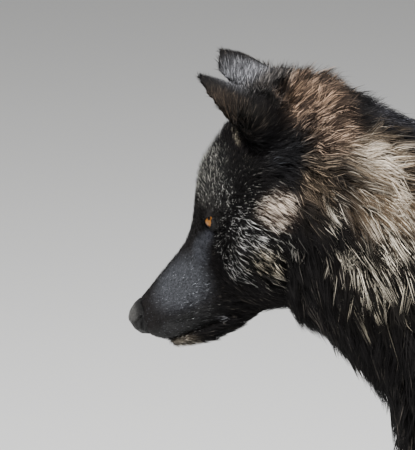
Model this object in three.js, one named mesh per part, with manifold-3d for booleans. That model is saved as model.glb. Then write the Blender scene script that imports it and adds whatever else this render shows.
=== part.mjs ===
// A black-phase grey wolf, life size, standing still with its head low and turned a little to its right.
// Units are millimetres. The wolf faces -X, its left side faces -Y, and +Z is up from the floor.
// The body is made whole from smooth lofts through named cross-sections, out to the tips of the coat,
// and is then parted into the pieces that a person would name.
import * as THREE from "three";
import { mergeVertices } from "three/addons/utils/BufferGeometryUtils.js";
import Module from "manifold-3d";

const wasm = await Module();
wasm.setup();

// ---- Driving dimensions

const GAP = 0.3; // between neighbouring pieces
const NOSE_TIP = [-618, 52, 588]; // the foremost point of the nose pad
const HEAD_PITCH = 30; // degrees that the mouth line points below level
const HEAD_YAW = 15; // degrees that the nose turns to the animal's right
// The centre of an eyeball in the head's frame, and how many degrees outwards it looks.
const EYE = { back: 147, out: 36.5, up: 49.5, radius: 11.5, gaze: 48, opening: { ahead: 9, radius: 12 } };
const EAR_BASE = { back: 230, out: 50, up: 110 };
// Each ear's tip, how many degrees outwards its opening turns, and how far its edges bow.
const EARS = {
  left: { tip: { back: 206, out: 61, up: 183 }, turn: -8, bow: 1.25 },
  right: { tip: { back: 200, out: 61, up: 192 }, turn: 30, bow: 1.9 },
};
const EAR = {
  halfWidth: 37,
  tipHalfWidth: 1.5,
  depth: 34, // of the cup, at its base and its tip
  tipDepth: 3,
  thickness: 11,
  tipThickness: 6,
  buried: 0.3, // of its length
  rootTaper: 1.3,
  clearance: 3, // how much more a pocket grows across the leaf than along its edges
};
const FORE_STEP = { left: -18, right: 26 }; // how far each paw stands from straight under its shoulder
const HIND_STEP = { left: 22, right: -30 };
const LEG_TOP = 600; // height above which a leg no longer leans with its step
const ELBOW = 420; // heights at which the legs are parted
const KNEE = 425;
const PAW_TOP = 62;
const TAIL_CUT = [560, 0, 530];

const radians = THREE.MathUtils.degToRad;

// ---- Materials

const paint = (color, roughness) => new THREE.MeshStandardMaterial({ color, roughness, metalness: 0 });
const blackCoat = paint(0x1a1918, 0.85);
const brownCoat = paint(0x5a4a3c, 0.9);
const leather = paint(0x151414, 0.5);
const amber = paint(0xc98a2b, 0.15);

// ---- From geometry to solid and back

function toSolid(geometry) {
  const bare = geometry.clone();
  bare.deleteAttribute("normal");
  bare.deleteAttribute("uv");
  const merged = mergeVertices(bare, 1e-3);
  return new wasm.Manifold(
    new wasm.Mesh({
      numProp: 3,
      vertProperties: merged.attributes.position.array,
      triVerts: new Uint32Array(merged.index.array),
    }),
  );
}

function toMesh(name, solid, material) {
  const made = solid.getMesh();
  const position = new Float32Array(made.numVert * 3);
  for (let i = 0; i < made.numVert; i++) {
    position.set(made.vertProperties.subarray(i * made.numProp, i * made.numProp + 3), i * 3);
  }
  const geometry = new THREE.BufferGeometry();
  geometry.setAttribute("position", new THREE.BufferAttribute(position, 3));
  geometry.setIndex(new THREE.BufferAttribute(made.triVerts, 1));
  geometry.computeVertexNormals();
  const mesh = new THREE.Mesh(geometry, material);
  mesh.name = name;
  return mesh;
}

const placed = (geometry, matrix) => toSolid(geometry.clone().applyMatrix4(matrix));
const joined = (...solids) => solids.reduce((whole, next) => whole.add(next));

// A closed surface from rings of equal length, given in order, each turning the same way. Its ends are fans
// about a point midway between two opposite points of the ring.
function skinOver(rings) {
  const sides = rings[0].length;
  const quarter = Math.floor((sides / 2 - 1) / 2);
  const centre = (ring) => ring[quarter].clone().lerp(ring[quarter + sides / 2], 0.5);
  const points = [...rings.flat(), centre(rings[0]), centre(rings.at(-1))];
  const first = points.length - 2;
  const last = points.length - 1;
  const faces = [];
  for (let j = 0; j < sides; j++) {
    const k = (j + 1) % sides;
    for (let i = 0; i + 1 < rings.length; i++) {
      const [a, b, c, d] = [i * sides + j, i * sides + k, (i + 1) * sides + k, (i + 1) * sides + j];
      faces.push(a, c, b, a, d, c);
    }
    const end = (rings.length - 1) * sides;
    faces.push(first, j, k, last, end + k, end + j);
  }
  const geometry = new THREE.BufferGeometry().setFromPoints(points);
  geometry.setIndex(faces);
  return geometry;
}

// A limb or body through cross-sections. Each section is stated by a point on its upper (or rear) outline and
// one on its lower (or front) outline, both [x, z], by its half width, and by how far it lies from the midline.
// level says how far up the section is widest; upper and lower say how square it is (2 is an ellipse).
// mould, where given, moves each point of the surface after it is made.
function loft(sections, { perGap = 3, sides = 24, grow = 0, mould = null } = {}) {
  const path = (pick) => {
    const points = sections.map((s) => new THREE.Vector3(...pick(s)));
    return new THREE.CatmullRomCurve3(points, false, "centripetal");
  };
  const top = path((s) => [s.top[0], s.y ?? 0, s.top[1]]);
  const bottom = path((s) => [s.bottom[0], s.y ?? 0, s.bottom[1]]);
  const size = path((s) => [s.wide, s.level ?? 0.5, 0]);
  const shape = path((s) => [s.upper ?? 2, s.lower ?? 2, 0]);
  const rings = [];
  const count = (sections.length - 1) * perGap;
  for (let i = 0; i <= count; i++) {
    const t = i / count;
    const high = top.getPoint(t);
    const low = bottom.getPoint(t);
    const [wide, level] = size.getPoint(t).toArray();
    const [upper, lower] = shape.getPoint(t).toArray();
    const rise = high.clone().sub(low);
    const height = rise.length();
    const up = rise.divideScalar(height);
    const middle = low.clone().addScaledVector(up, height * level);
    rings.push(
      Array.from({ length: sides }, (_, j) => {
        const angle = (2 * Math.PI * j) / sides;
        const c = Math.cos(angle);
        const s = Math.sin(angle);
        const power = 2 / (c > 0 ? upper : lower);
        const reach = (c > 0 ? height * (1 - level) : height * level) + grow;
        const along = Math.sign(c) * Math.abs(c) ** power * reach;
        const across = Math.sign(s) * Math.abs(s) ** power * (wide + grow);
        const offset = up.clone().multiplyScalar(along).add(new THREE.Vector3(0, across, 0));
        const point = middle.clone().add(offset);
        return mould ? mould(point, offset.normalize()) : point;
      }),
    );
  }
  // Growth lengthens the ends too.
  for (const [end, next] of [
    [rings[0], rings[1]],
    [rings.at(-1), rings.at(-2)],
  ]) {
    const outward = end[0].clone().sub(next[0]).normalize().multiplyScalar(grow);
    end.forEach((point) => point.add(outward));
  }
  return skinOver(rings);
}

// A section of a round limb: its centre, its radius and the direction in which the limb runs, in degrees
// below level towards the tail.
function roundSection(x, z, radius, heading, wide = radius) {
  const lean = [Math.sin(radians(heading)) * radius, Math.cos(radians(heading)) * radius];
  return { top: [x + lean[0], z + lean[1]], bottom: [x - lean[0], z - lean[1]], wide };
}

function ball(x, y, z, rx, ry, rz) {
  const matrix = new THREE.Matrix4().makeTranslation(x, y, z).scale(new THREE.Vector3(rx, ry, rz));
  return new THREE.IcosahedronGeometry(1, 1).applyMatrix4(matrix);
}

// Everything on one side of a plane through a point: the side that normal points to.
function beyond([x, y, z], normal, reach = 2000) {
  const direction = new THREE.Vector3(...normal).normalize();
  const turn = new THREE.Quaternion().setFromUnitVectors(new THREE.Vector3(0, 0, 1), direction);
  const centre = new THREE.Vector3(x, y, z).addScaledVector(direction, reach / 2);
  const matrix = new THREE.Matrix4().compose(centre, turn, new THREE.Vector3(1, 1, 1));
  return placed(new THREE.BoxGeometry(reach, reach, reach), matrix);
}

// Cuts a solid into lengths by planes, from the first plane's near side to the last one's far side.
function parted(solid, planes) {
  const lengths = [];
  let rest = solid;
  for (const { at, normal } of planes) {
    const away = new THREE.Vector3(...normal).normalize().multiplyScalar(GAP);
    const shifted = [at[0] + away.x, at[1] + away.y, at[2] + away.z];
    lengths.push(rest.subtract(beyond(at, normal)));
    rest = rest.intersect(beyond(shifted, normal));
  }
  return [...lengths, rest];
}

// ---- Head. Its frame starts at the nose tip: x runs back along the mouth line, z up from the nose tip.

const headFrame = new THREE.Matrix4()
  .makeTranslation(...NOSE_TIP)
  .multiply(new THREE.Matrix4().makeRotationZ(-radians(HEAD_YAW)))
  .multiply(new THREE.Matrix4().makeRotationY(-radians(HEAD_PITCH)));

// A section of the head: distance back from the nose tip, then the heights of its top and bottom.
const headSection = (back, up, down, wide, rest = {}) => ({ top: [back, up], bottom: [back, down], wide, ...rest });

// Forms that stand out from the plain skull, or are hollowed into it, on both sides alike.
const HEAD_FORMS = [
  { back: 134, out: 46, up: 49, reach: 15, push: -7 }, // the eye's hollow
  { back: 144, out: 36, up: 74, reach: 14, push: 3 }, // brow
  { back: 162, out: 74, up: 14, reach: 34, push: 5 }, // cheekbone
  { back: 100, out: 30, up: 8, reach: 24, push: -3 }, // in front of the cheek, below the eye
];

const headMould = (point, outward) => {
  const push = HEAD_FORMS.reduce((sum, form) => {
    const away = Math.hypot(point.x - form.back, Math.abs(point.y) - form.out, point.z - form.up);
    return sum + form.push * Math.exp(-((away / form.reach) ** 2));
  }, 0);
  return point.addScaledVector(outward, push);
};

const skull = (grow) =>
  loft(
    [
      headSection(12, 3, -22, 12, { level: 0.45 }),
      headSection(20, 11.5, -33, 19.5, { level: 0.4, lower: 2.6 }),
      headSection(34, 17.5, -39, 25, { level: 0.34, upper: 2.2, lower: 3.2 }),
      headSection(58, 28, -42, 28.5, { level: 0.32, upper: 2.2, lower: 3.2 }),
      headSection(88, 40.5, -44, 33, { level: 0.35, upper: 2.1, lower: 3 }),
      headSection(104, 51.5, -47, 39, { level: 0.39, upper: 2, lower: 2.6 }),
      headSection(118, 67.5, -59, 47, { level: 0.43, upper: 1.85, lower: 2.2 }),
      headSection(134, 89, -62, 57, { level: 0.45, upper: 1.75, lower: 2.1 }),
      headSection(152, 108, -64, 68, { level: 0.45, upper: 1.8, lower: 2.1 }),
      headSection(178, 119, -69, 78, { level: 0.47, upper: 1.9 }),
      headSection(206, 125, -76, 85, { level: 0.48, upper: 1.95 }),
      headSection(236, 126, -84, 89, { level: 0.5 }),
      headSection(262, 119, -84, 84, { level: 0.5 }),
      headSection(280, 100, -66, 66, { level: 0.5 }),
    ],
    { perGap: 2, sides: 18, grow, mould: headMould },
  );

const jaw = loft(
  [
    headSection(27, -34, -43, 8),
    headSection(32, -31, -49, 14.5, { level: 0.6 }),
    headSection(46, -30, -54, 19, { level: 0.6, lower: 2.2 }),
    headSection(70, -30, -62, 22, { level: 0.6, lower: 2.2 }),
    headSection(96, -30, -63, 25, { level: 0.6, lower: 2.2 }),
    headSection(122, -30, -60, 29, { level: 0.6, lower: 2.2 }),
  ],
  { perGap: 1, sides: 12 },
);

const nosePad = (grow) =>
  loft(
    [
      headSection(0.5, -3, -8, 3),
      headSection(2, 2.5, -15, 10, { level: 0.6 }),
      headSection(7, 7.5, -22, 17, { level: 0.58 }),
      headSection(14, 11, -26, 19.5, { level: 0.56 }),
      headSection(21, 12.5, -24, 18, { level: 0.55 }),
      headSection(26, 8, -17, 12, { level: 0.5 }),
    ],
    { perGap: 1, sides: 12, grow },
  );

const eyeBall = (side, grow = 0) => {
  const radius = EYE.radius + grow;
  return ball(EYE.back, side * EYE.out, EYE.up, radius, radius, radius);
};

// The opening between the lids: a hollow in front of the eye, along the line in which it looks.
const lidOpening = (side) => {
  const { back, out, up, opening } = EYE;
  const ahead = opening.ahead;
  const gaze = radians(EYE.gaze);
  return ball(
    back - ahead * Math.cos(gaze),
    side * (out + ahead * Math.sin(gaze)),
    up + ahead * 0.15,
    opening.radius,
    opening.radius,
    opening.radius,
  );
};

// ---- Ear: a cupped leaf. In its own frame z runs along the ear and x out of its opening.

const EAR_STEPS = 7;
const EAR_POINTS = 7;

function ear(side, { tip, turn, bow }, grow = 0) {
  const base = new THREE.Vector3(EAR_BASE.back, side * EAR_BASE.out, EAR_BASE.up);
  const along = new THREE.Vector3(tip.back, side * tip.out, tip.up).sub(base);
  const length = along.length() + grow;
  along.normalize();
  const facing = new THREE.Vector3(-Math.cos(radians(turn)), side * Math.sin(radians(turn)), 0);
  facing.addScaledVector(along, -facing.dot(along)).normalize();
  const frame = new THREE.Matrix4().makeBasis(facing, along.clone().cross(facing), along).setPosition(base);

  const rings = [];
  for (let i = 0; i <= EAR_STEPS; i++) {
    const t = -EAR.buried + ((1 + EAR.buried) * i) / EAR_STEPS;
    const risen = Math.max(t, 0);
    const root = 1 + Math.min(t, 0) * EAR.rootTaper;
    const halfWidth = EAR.halfWidth * root * Math.sqrt(1 - risen ** bow) + EAR.tipHalfWidth + grow;
    const depth = THREE.MathUtils.lerp(EAR.depth, EAR.tipDepth, risen) * root;
    const thickness = THREE.MathUtils.lerp(EAR.thickness, EAR.tipThickness, risen);
    const face = (sign) => (s) => {
      const x = -depth * (1 - s * s) + sign * ((thickness / 2) * Math.sqrt(1 - s * s) + grow * EAR.clearance);
      return new THREE.Vector3(x, halfWidth * s, t < 0 ? t * length - grow : t * length);
    };
    const spread = Array.from({ length: EAR_POINTS }, (_, j) => -1 + (2 * j + 1) / EAR_POINTS);
    rings.push([...spread.map(face(-1)), ...spread.map(face(1)).reverse()]);
  }
  return skinOver(rings).applyMatrix4(frame);
}

// ---- Neck and trunk in one loft, from inside the head to the rump

const torso = loft(
  [
    { top: [-470, 822], bottom: [-478, 650], wide: 66 },
    { top: [-450, 843], bottom: [-462, 606], wide: 86 },
    { top: [-424, 849], bottom: [-438, 588], wide: 98 },
    { top: [-394, 837], bottom: [-402, 559], wide: 108, upper: 1.9 },
    { top: [-357, 821], bottom: [-362, 524], wide: 114, upper: 1.85 },
    { top: [-312, 807], bottom: [-344, 467], wide: 120, upper: 1.85 },
    { top: [-268, 800], bottom: [-328, 430], wide: 125, upper: 1.85 },
    { top: [-225, 796], bottom: [-280, 408], wide: 129, upper: 1.85 },
    { top: [-172, 791], bottom: [-205, 400], wide: 131, upper: 1.9 },
    { top: [-90, 785], bottom: [-100, 402], wide: 130, upper: 2 },
    { top: [20, 779], bottom: [18, 416], wide: 124, upper: 2.1 },
    { top: [140, 780], bottom: [142, 446], wide: 112, upper: 2.1 },
    { top: [240, 785], bottom: [248, 482], wide: 102, upper: 2.1 },
    { top: [340, 787], bottom: [352, 530], wide: 99, upper: 2.1 },
    { top: [425, 777], bottom: [444, 574], wide: 95 },
    { top: [482, 754], bottom: [500, 610], wide: 80 },
    { top: [516, 726], bottom: [529, 644], wide: 56 },
    { top: [536, 694], bottom: [540, 670], wide: 20 },
  ],
  { perGap: 2, sides: 16 },
);

const NECK_PLANES = [
  { at: [-434, 0, 730], normal: [1, 0, -0.1] }, // behind the ears and the angle of the jaw
  { at: [-330, 0, 640], normal: [1, 0, -0.22] }, // in front of the shoulders
  { at: [30, 0, 600], normal: [1, 0, 0] }, // behind the last rib
  { at: [300, 0, 600], normal: [1, 0, 0.05] }, // in front of the hips
];

const tail = (grow) =>
  loft(
    [
      roundSection(466, 708, 20, 20),
      roundSection(505, 694, 29, 30),
      roundSection(538, 666, 35, 52),
      roundSection(559, 618, 41, 70),
      roundSection(572, 548, 46, 82),
      roundSection(579, 468, 48, 87),
      roundSection(580, 390, 41, 92),
      roundSection(576, 325, 24, 96),
      roundSection(573, 292, 6, 98),
    ],
    { perGap: 2, sides: 10, grow },
  );

// ---- Legs. Each section is stated by its rear and front outline, for a leg that stands straight.

const leg = (stations) => (side, step, grow = 0) => {
  const lean = ([x, z]) => [x + step * Math.max(1 - z / LEG_TOP, 0), z];
  const sections = stations.map(([rear, front, out, wide]) => ({
    top: lean(rear),
    bottom: lean(front),
    y: side * out,
    wide,
  }));
  return loft(sections, { perGap: 1, sides: 10, grow });
};

const foreLeg = leg([
  [[-188, 690], [-282, 664], 58, 26],
  [[-181, 630], [-310, 608], 70, 40],
  [[-180, 560], [-332, 540], 80, 50],
  [[-186, 490], [-332, 474], 83, 49],
  [[-204, 428], [-316, 418], 82, 41],
  [[-226, 360], [-296, 358], 79, 31],
  [[-235, 290], [-285, 292], 76, 25],
  [[-240, 215], [-281, 217], 75, 22],
  [[-240, 165], [-286, 170], 75, 24],
  [[-248, 120], [-291, 130], 75, 22],
  [[-257, 72], [-306, 90], 75, 26],
  [[-262, 30], [-320, 66], 75, 32],
  [[-270, -4], [-334, 48], 75, 36],
  [[-300, -14], [-348, 34], 75, 35],
]);

const hindLeg = leg([
  [[452, 716], [338, 704], 48, 30],
  [[500, 660], [314, 640], 60, 45],
  [[514, 590], [302, 566], 70, 54],
  [[504, 515], [304, 496], 77, 52],
  [[480, 445], [325, 430], 78, 42],
  [[472, 380], [360, 372], 77, 33],
  [[484, 318], [404, 320], 76, 27],
  [[508, 262], [441, 276], 75, 23],
  [[521, 224], [461, 234], 74, 22],
  [[516, 176], [469, 180], 73, 20],
  [[508, 118], [465, 124], 73, 20],
  [[500, 66], [452, 82], 73, 24],
  [[495, 28], [438, 60], 73, 29],
  [[486, -4], [425, 44], 73, 32],
  [[460, -14], [412, 32], 73, 31],
]);

// ---- Toes with their claws, stated from the middle of the paw

const TOES = [
  { ahead: 27, out: -33, turn: 9 },
  { ahead: 43, out: -12.5, turn: 3 },
  { ahead: 43, out: 12.5, turn: -3 },
  { ahead: 27, out: 33, turn: -9 },
];
const TOE = { long: 25, wide: 13.5, high: 15, sink: 2.2 }; // half sizes, and how deep the pad is pressed flat
const CLAW = { thick: 4.6, long: 25, dip: 22, ahead: 26, up: 11 };

function toes(x, y, size) {
  const made = TOES.map(({ ahead, out, turn }) => {
    const matrix = new THREE.Matrix4()
      .makeTranslation(x - ahead * size, y + out * size, 0)
      .multiply(new THREE.Matrix4().makeRotationZ(radians(turn)));
    const pad = ball(0, 0, TOE.high * size - TOE.sink, TOE.long * size, TOE.wide * size, TOE.high * size);
    const claw = new THREE.ConeGeometry(CLAW.thick * size, CLAW.long * size, 4)
      .rotateZ(radians(90 + CLAW.dip))
      .translate(-CLAW.ahead * size, 0, CLAW.up * size);
    return joined(placed(pad, matrix), placed(claw, matrix));
  });
  return joined(...made);
}

// ---- Putting the wolf together

const wolf = new THREE.Group();
const add = (name, solid, material) => wolf.add(toMesh(name, solid, material));

const SIDES = { left: -1, right: 1 };
const inHead = (geometry) => placed(geometry, headFrame);

// Behind the corner of the mouth the jaw is one with the head; in front of it the lips close over it.
const bareHead = joined(inHead(skull(0)), toSolid(torso));
let [head, ...trunk] = parted(bareHead, NECK_PLANES);
head = head.subtract(inHead(nosePad(GAP)));

for (const [name, side] of Object.entries(SIDES)) {
  head = head
    .subtract(inHead(eyeBall(side, GAP)))
    .subtract(inHead(lidOpening(side)))
    .subtract(inHead(ear(side, EARS[name], GAP)));
  add(`ear_${name}`, inHead(ear(side, EARS[name])), blackCoat);
  add(`eye_${name}`, inHead(eyeBall(side)), amber);
}
add("nose", inHead(nosePad(0)), leather);
add("lower_jaw", inHead(jaw).subtract(inHead(skull(GAP))), blackCoat);

const underFloor = placed(new THREE.BoxGeometry(3000, 1000, 200), new THREE.Matrix4().makeTranslation(0, 0, -100));
const LEGS = [
  {
    shape: foreLeg,
    paw: { x: -288, out: 75, size: 1 },
    steps: FORE_STEP,
    names: ["foreleg_upper", "foreleg_lower", "paw_fore"],
    cuts: [ELBOW, PAW_TOP],
  },
  {
    shape: hindLeg,
    paw: { x: 466, out: 73, size: 0.9 },
    steps: HIND_STEP,
    names: ["thigh", "shank", "paw_hind"],
    cuts: [KNEE, PAW_TOP],
  },
];
for (const { shape, paw, steps, names, cuts } of LEGS) {
  for (const [name, side] of Object.entries(SIDES)) {
    const step = steps[name];
    const foot = toes(paw.x + step, side * paw.out, paw.size);
    const whole = joined(toSolid(shape(side, step)), foot).subtract(underFloor);
    const planes = cuts.map((height) => ({ at: [0, 0, height], normal: [0, 0, -1] }));
    parted(whole, planes).forEach((piece, i) => add(`${names[i]}_${name}`, piece, blackCoat));
    const room = toSolid(shape(side, step, GAP));
    trunk = trunk.map((length) => length.subtract(room));
  }
}

trunk[3] = trunk[3].subtract(toSolid(tail(GAP)));
add("head", head, blackCoat);
add("neck", trunk[0], brownCoat);
add("chest", trunk[1], blackCoat);
add("loin", trunk[2], blackCoat);
add("rump", trunk[3], blackCoat);
const [tailRoot, tailBrush] = parted(toSolid(tail(0)), [{ at: TAIL_CUT, normal: [0, 0, -1] }]);
add("tail_root", tailRoot, blackCoat);
add("tail_brush", tailBrush, blackCoat);

const box = new THREE.Box3().setFromObject(wolf);
wolf.position.x = -(box.min.x + box.max.x) / 2; // the origin is under the middle of the bounding box

export default wolf;
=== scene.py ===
# %% [markdown]
# A black wolf, life size, as a museum shows one: standing, head low, coat complete to the last guard hair.
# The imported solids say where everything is, out to the tips of the coat. This script grows one skin inside
# them, gives it a face, and then covers it with tufts of hair that lie the way a wolf's coat lies.

import math
from contextlib import contextmanager

import bmesh
import bpy
import numpy as np
from mathutils import Matrix, Vector, kdtree
from mathutils.bvhtree import BVHTree


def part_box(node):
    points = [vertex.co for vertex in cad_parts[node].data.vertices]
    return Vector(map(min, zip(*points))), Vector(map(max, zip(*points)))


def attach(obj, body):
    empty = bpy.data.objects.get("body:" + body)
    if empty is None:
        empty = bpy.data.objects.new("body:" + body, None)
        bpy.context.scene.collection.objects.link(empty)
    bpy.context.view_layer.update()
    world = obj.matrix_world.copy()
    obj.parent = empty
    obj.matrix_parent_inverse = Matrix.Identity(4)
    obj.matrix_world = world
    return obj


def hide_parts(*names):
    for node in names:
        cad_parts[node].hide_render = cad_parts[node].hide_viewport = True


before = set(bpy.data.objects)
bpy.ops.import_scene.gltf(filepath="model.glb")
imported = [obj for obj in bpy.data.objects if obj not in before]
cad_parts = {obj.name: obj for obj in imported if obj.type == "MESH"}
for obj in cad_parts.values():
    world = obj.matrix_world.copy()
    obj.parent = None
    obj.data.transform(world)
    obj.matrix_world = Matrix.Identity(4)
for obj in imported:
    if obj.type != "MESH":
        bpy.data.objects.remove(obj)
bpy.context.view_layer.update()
MM = 0.001
SEED = 20

# %% [markdown]
# The camera stands five metres off on the wolf's left, a little above its back, with a long lens. A long lens
# keeps an animal's head in true proportion, where a short one would swell the nose. It aims between the eyes
# and the throat, so the body runs out of the frame behind the shoulder.

# %% Camera


def put_in_scene(name, data):
    """An object that shows this data, linked into the scene."""
    obj = bpy.data.objects.new(name, data)
    bpy.context.scene.collection.objects.link(obj)
    return obj


VIEW_DISTANCE = 5.0
VIEW_ELEVATION = math.radians(12)
nose_low, nose_high = (Vector(corner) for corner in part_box("nose"))
AIM_BEHIND_NOSE, AIM_ASIDE, AIM_ABOVE_NOSE = 0.080, 0.020, 0.081
look_at = Vector((nose_low.x + AIM_BEHIND_NOSE, AIM_ASIDE, nose_high.z + AIM_ABOVE_NOSE))
sight = Vector((0, math.cos(VIEW_ELEVATION), -math.sin(VIEW_ELEVATION)))

camera = put_in_scene("camera", bpy.data.cameras.new("camera"))
camera.data.lens = 400
camera.data.sensor_width = 36
camera.data.clip_end = 200
camera.location = look_at - sight * VIEW_DISTANCE
camera.rotation_euler = (math.pi / 2 - VIEW_ELEVATION, 0, 0)
bpy.context.scene.camera = camera
print("camera at", tuple(round(v, 3) for v in camera.location))

# %% [markdown]
# Black fur shows its form only by the light that glances off it. So one large soft box stands high in front
# of the head, a second one behind the back draws a rim along the nape, a third lights the flank, and a pale
# room fills the shadows.

# %% Lights
# name, place, where it is aimed, size, power
LAMPS = [
    ("key_light", (-1.9, -2.1, 3.2), (-0.5, 0, 0.7), 0.7, 320),  # at the head
    ("top_light", (0.6, 0.9, 3.4), (-0.3, 0, 0.8), 1.2, 105),  # at the nape
    ("side_light", (1.2, -3.0, 2.4), (-0.1, 0, 0.7), 1.2, 85),  # at the flank
]
ROOM_LIGHT = 0.27
for name, place, aim, size, power in LAMPS:
    lamp = bpy.data.lights.new(name, "AREA")
    lamp.shape = "DISK"
    lamp.size = size
    lamp.energy = power
    box = put_in_scene(name, lamp)
    box.location = place
    box.rotation_euler = (Vector(aim) - Vector(place)).to_track_quat("-Z", "Y").to_euler()

room = bpy.data.worlds.new("room")
room.use_nodes = True
walls = room.node_tree.nodes["Background"].inputs
walls["Color"].default_value = (1, 1, 1, 1)
walls["Strength"].default_value = ROOM_LIGHT
bpy.context.scene.world = room
print("lights:", [row[0] for row in LAMPS])

# %% [markdown]
# The floor is a plain pale sheet, wide enough that its edge never shows. It isn't part of the wolf. Its paint
# comes from the helper that starts every finish in this script.

# %% Floor
HALF_FLOOR = 40
floor_mesh = bpy.data.meshes.new("floor")
corners = [(x * HALF_FLOOR, y * HALF_FLOOR, 0) for x, y in ((-1, -1), (1, -1), (1, 1), (-1, 1))]
floor_mesh.from_pydata(corners, [], [(0, 1, 2, 3)])
floor = put_in_scene("floor", floor_mesh)


def new_finish(name, roughness, **constants):
    """A material whose shader's own sockets are set; returns it with its tree and shader."""
    finish = bpy.data.materials.new(name)
    finish.use_nodes = True
    shader = finish.node_tree.nodes["Principled BSDF"]
    shader.inputs["Roughness"].default_value = roughness
    for label, value in constants.items():
        shader.inputs[label.replace("_", " ")].default_value = value
    return finish, finish.node_tree, shader


floor_mesh.materials.append(new_finish("floor_paint", 0.8, Base_Color=(0.80, 0.80, 0.79, 1))[0])
print("floor:", 2 * HALF_FLOOR, "metres across")

# %% [markdown]
# The head is pitched 30 degrees down and turned 15 degrees to the wolf's right. Everything on it is stated in
# its own frame, in millimetres: back from the nose tip, out from the middle plane, and up. The two eyeballs
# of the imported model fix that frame, because their places in it are known.

# %% The head's own frame
HEAD_PITCH = math.radians(30)
HEAD_YAW = math.radians(15)
EYE_BACK, EYE_OUT, EYE_UP, EYE_RADIUS = 147.0, 36.5, 49.5, 11.5
EYE_GAZE = math.radians(41)
EYE_SET = (-1.5, 0.8, 0.0)  # a little forward of and outside its packed place

turn = Matrix.Rotation(-HEAD_YAW, 3, "Z") @ Matrix.Rotation(-HEAD_PITCH, 3, "Y")
HEAD_TURN = np.array(turn)


def middle_of(node):
    low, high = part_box(node)
    return (np.array(low) + np.array(high)) / 2 / MM


NOSE_TIP = (middle_of("eye_left") + middle_of("eye_right")) / 2 - HEAD_TURN @ (EYE_BACK, 0, EYE_UP)


def to_head(points):
    """Back from the nose tip, side (the wolf's right is positive) and up, in mm."""
    return (points - NOSE_TIP) @ HEAD_TURN


def from_head(points):
    return np.asarray(points, float) @ HEAD_TURN.T + NOSE_TIP


def folded(places):
    """Both sides of the animal laid on one, because the tables state only one."""
    return np.stack([places[:, 0], np.abs(places[:, 1]), places[:, 2]], 1)


print("nose tip:", NOSE_TIP.round(1))

# %% [markdown]
# Shapes are worked on as arrays of points, in millimetres. These helpers read a mesh into arrays, find its
# normals, relax it, measure from a centre or a path, and hand it back.

# %% Points, faces and normals


def read_mesh(mesh):
    points = np.empty(len(mesh.vertices) * 3, np.float32)
    mesh.vertices.foreach_get("co", points)
    mesh.calc_loop_triangles()
    faces = np.empty(len(mesh.loop_triangles) * 3, np.int32)
    mesh.loop_triangles.foreach_get("vertices", faces)
    edges = np.empty(len(mesh.edges) * 2, np.int32)
    mesh.edges.foreach_get("vertices", edges)
    return points.reshape(-1, 3).astype(float) / MM, faces.reshape(-1, 3), edges.reshape(-1, 2)


def write_points(mesh, points):
    mesh.vertices.foreach_set("co", (points * MM).astype(np.float32).ravel())
    mesh.update()


def gather(index, values, count):
    """Adds each row of values to the row that index names."""
    return np.stack([np.bincount(index, values[:, k], count) for k in range(values.shape[1])], 1)


def unit(vectors):
    return vectors / np.maximum(np.linalg.norm(vectors, axis=1, keepdims=True), 1e-9)


def crossed(points, faces):
    """Each triangle's normal, as long as twice its area."""
    a, b, c = (points[faces[:, k]] for k in range(3))
    return np.cross(b - a, c - a)


def normals_of(points, faces):
    return unit(gather(faces.ravel(), np.repeat(crossed(points, faces), 3, axis=0), len(points)))


def neighbour_mean(values, edges):
    both = np.concatenate([edges, edges[:, ::-1]])
    total = gather(both[:, 0], values[both[:, 1]], len(values))
    return total / np.maximum(np.bincount(both[:, 0], minlength=len(values)), 1)[:, None]


def relaxed(values, edges, rounds, keep=None):
    """Evens values out over the mesh, without the shrinking that plain averaging brings."""
    share = 1 if keep is None else keep[:, None]
    for _ in range(rounds):
        values = values + 0.5 * share * (neighbour_mean(values, edges) - values)
        values = values - 0.52 * share * (neighbour_mean(values, edges) - values)
    return values


def smooth_step(value, start, end):
    t = np.clip((value - start) / (end - start), 0, 1)
    return t * t * (3 - 2 * t)


def nearness(points, centre, reach, spread=1):
    """1 at the centre, fading to nothing past the reach along each axis."""
    return np.exp(-(((points - centre) / reach) ** 2).sum(1) / spread)


def distance_to_path(points, path):
    """Distance of points, in a plane or in space, from a path of straight stretches."""
    best = np.full(len(points), 1e9)
    for start, end in zip(np.array(path[:-1], float), np.array(path[1:], float)):
        along = end - start
        t = np.clip(((points - start) @ along) / (along @ along), 0, 1)
        best = np.minimum(best, np.linalg.norm(points - (start + t[:, None] * along), axis=1))
    return best


@contextmanager
def opened(mesh):
    """A mesh laid open for editing, and written back after it."""
    form = bmesh.new()
    form.from_mesh(mesh)
    yield form
    form.to_mesh(mesh)
    form.free()


def shade_smooth(mesh):
    mesh.polygons.foreach_set("use_smooth", np.ones(len(mesh.polygons), bool))


print("helpers ready")


# %% [markdown]
# A wolf's coat isn't one length. It is a few millimetres on the muzzle and the feet, a finger deep on the
# back, and deeper than a hand is wide in the ruff. This table states it at places on the animal: how deep the
# coat lies there, how long and wide its tufts are, how many there are to the square centimetre, how far apart
# the locks stand, and which way the hair lies. Between places, everything blends.

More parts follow.
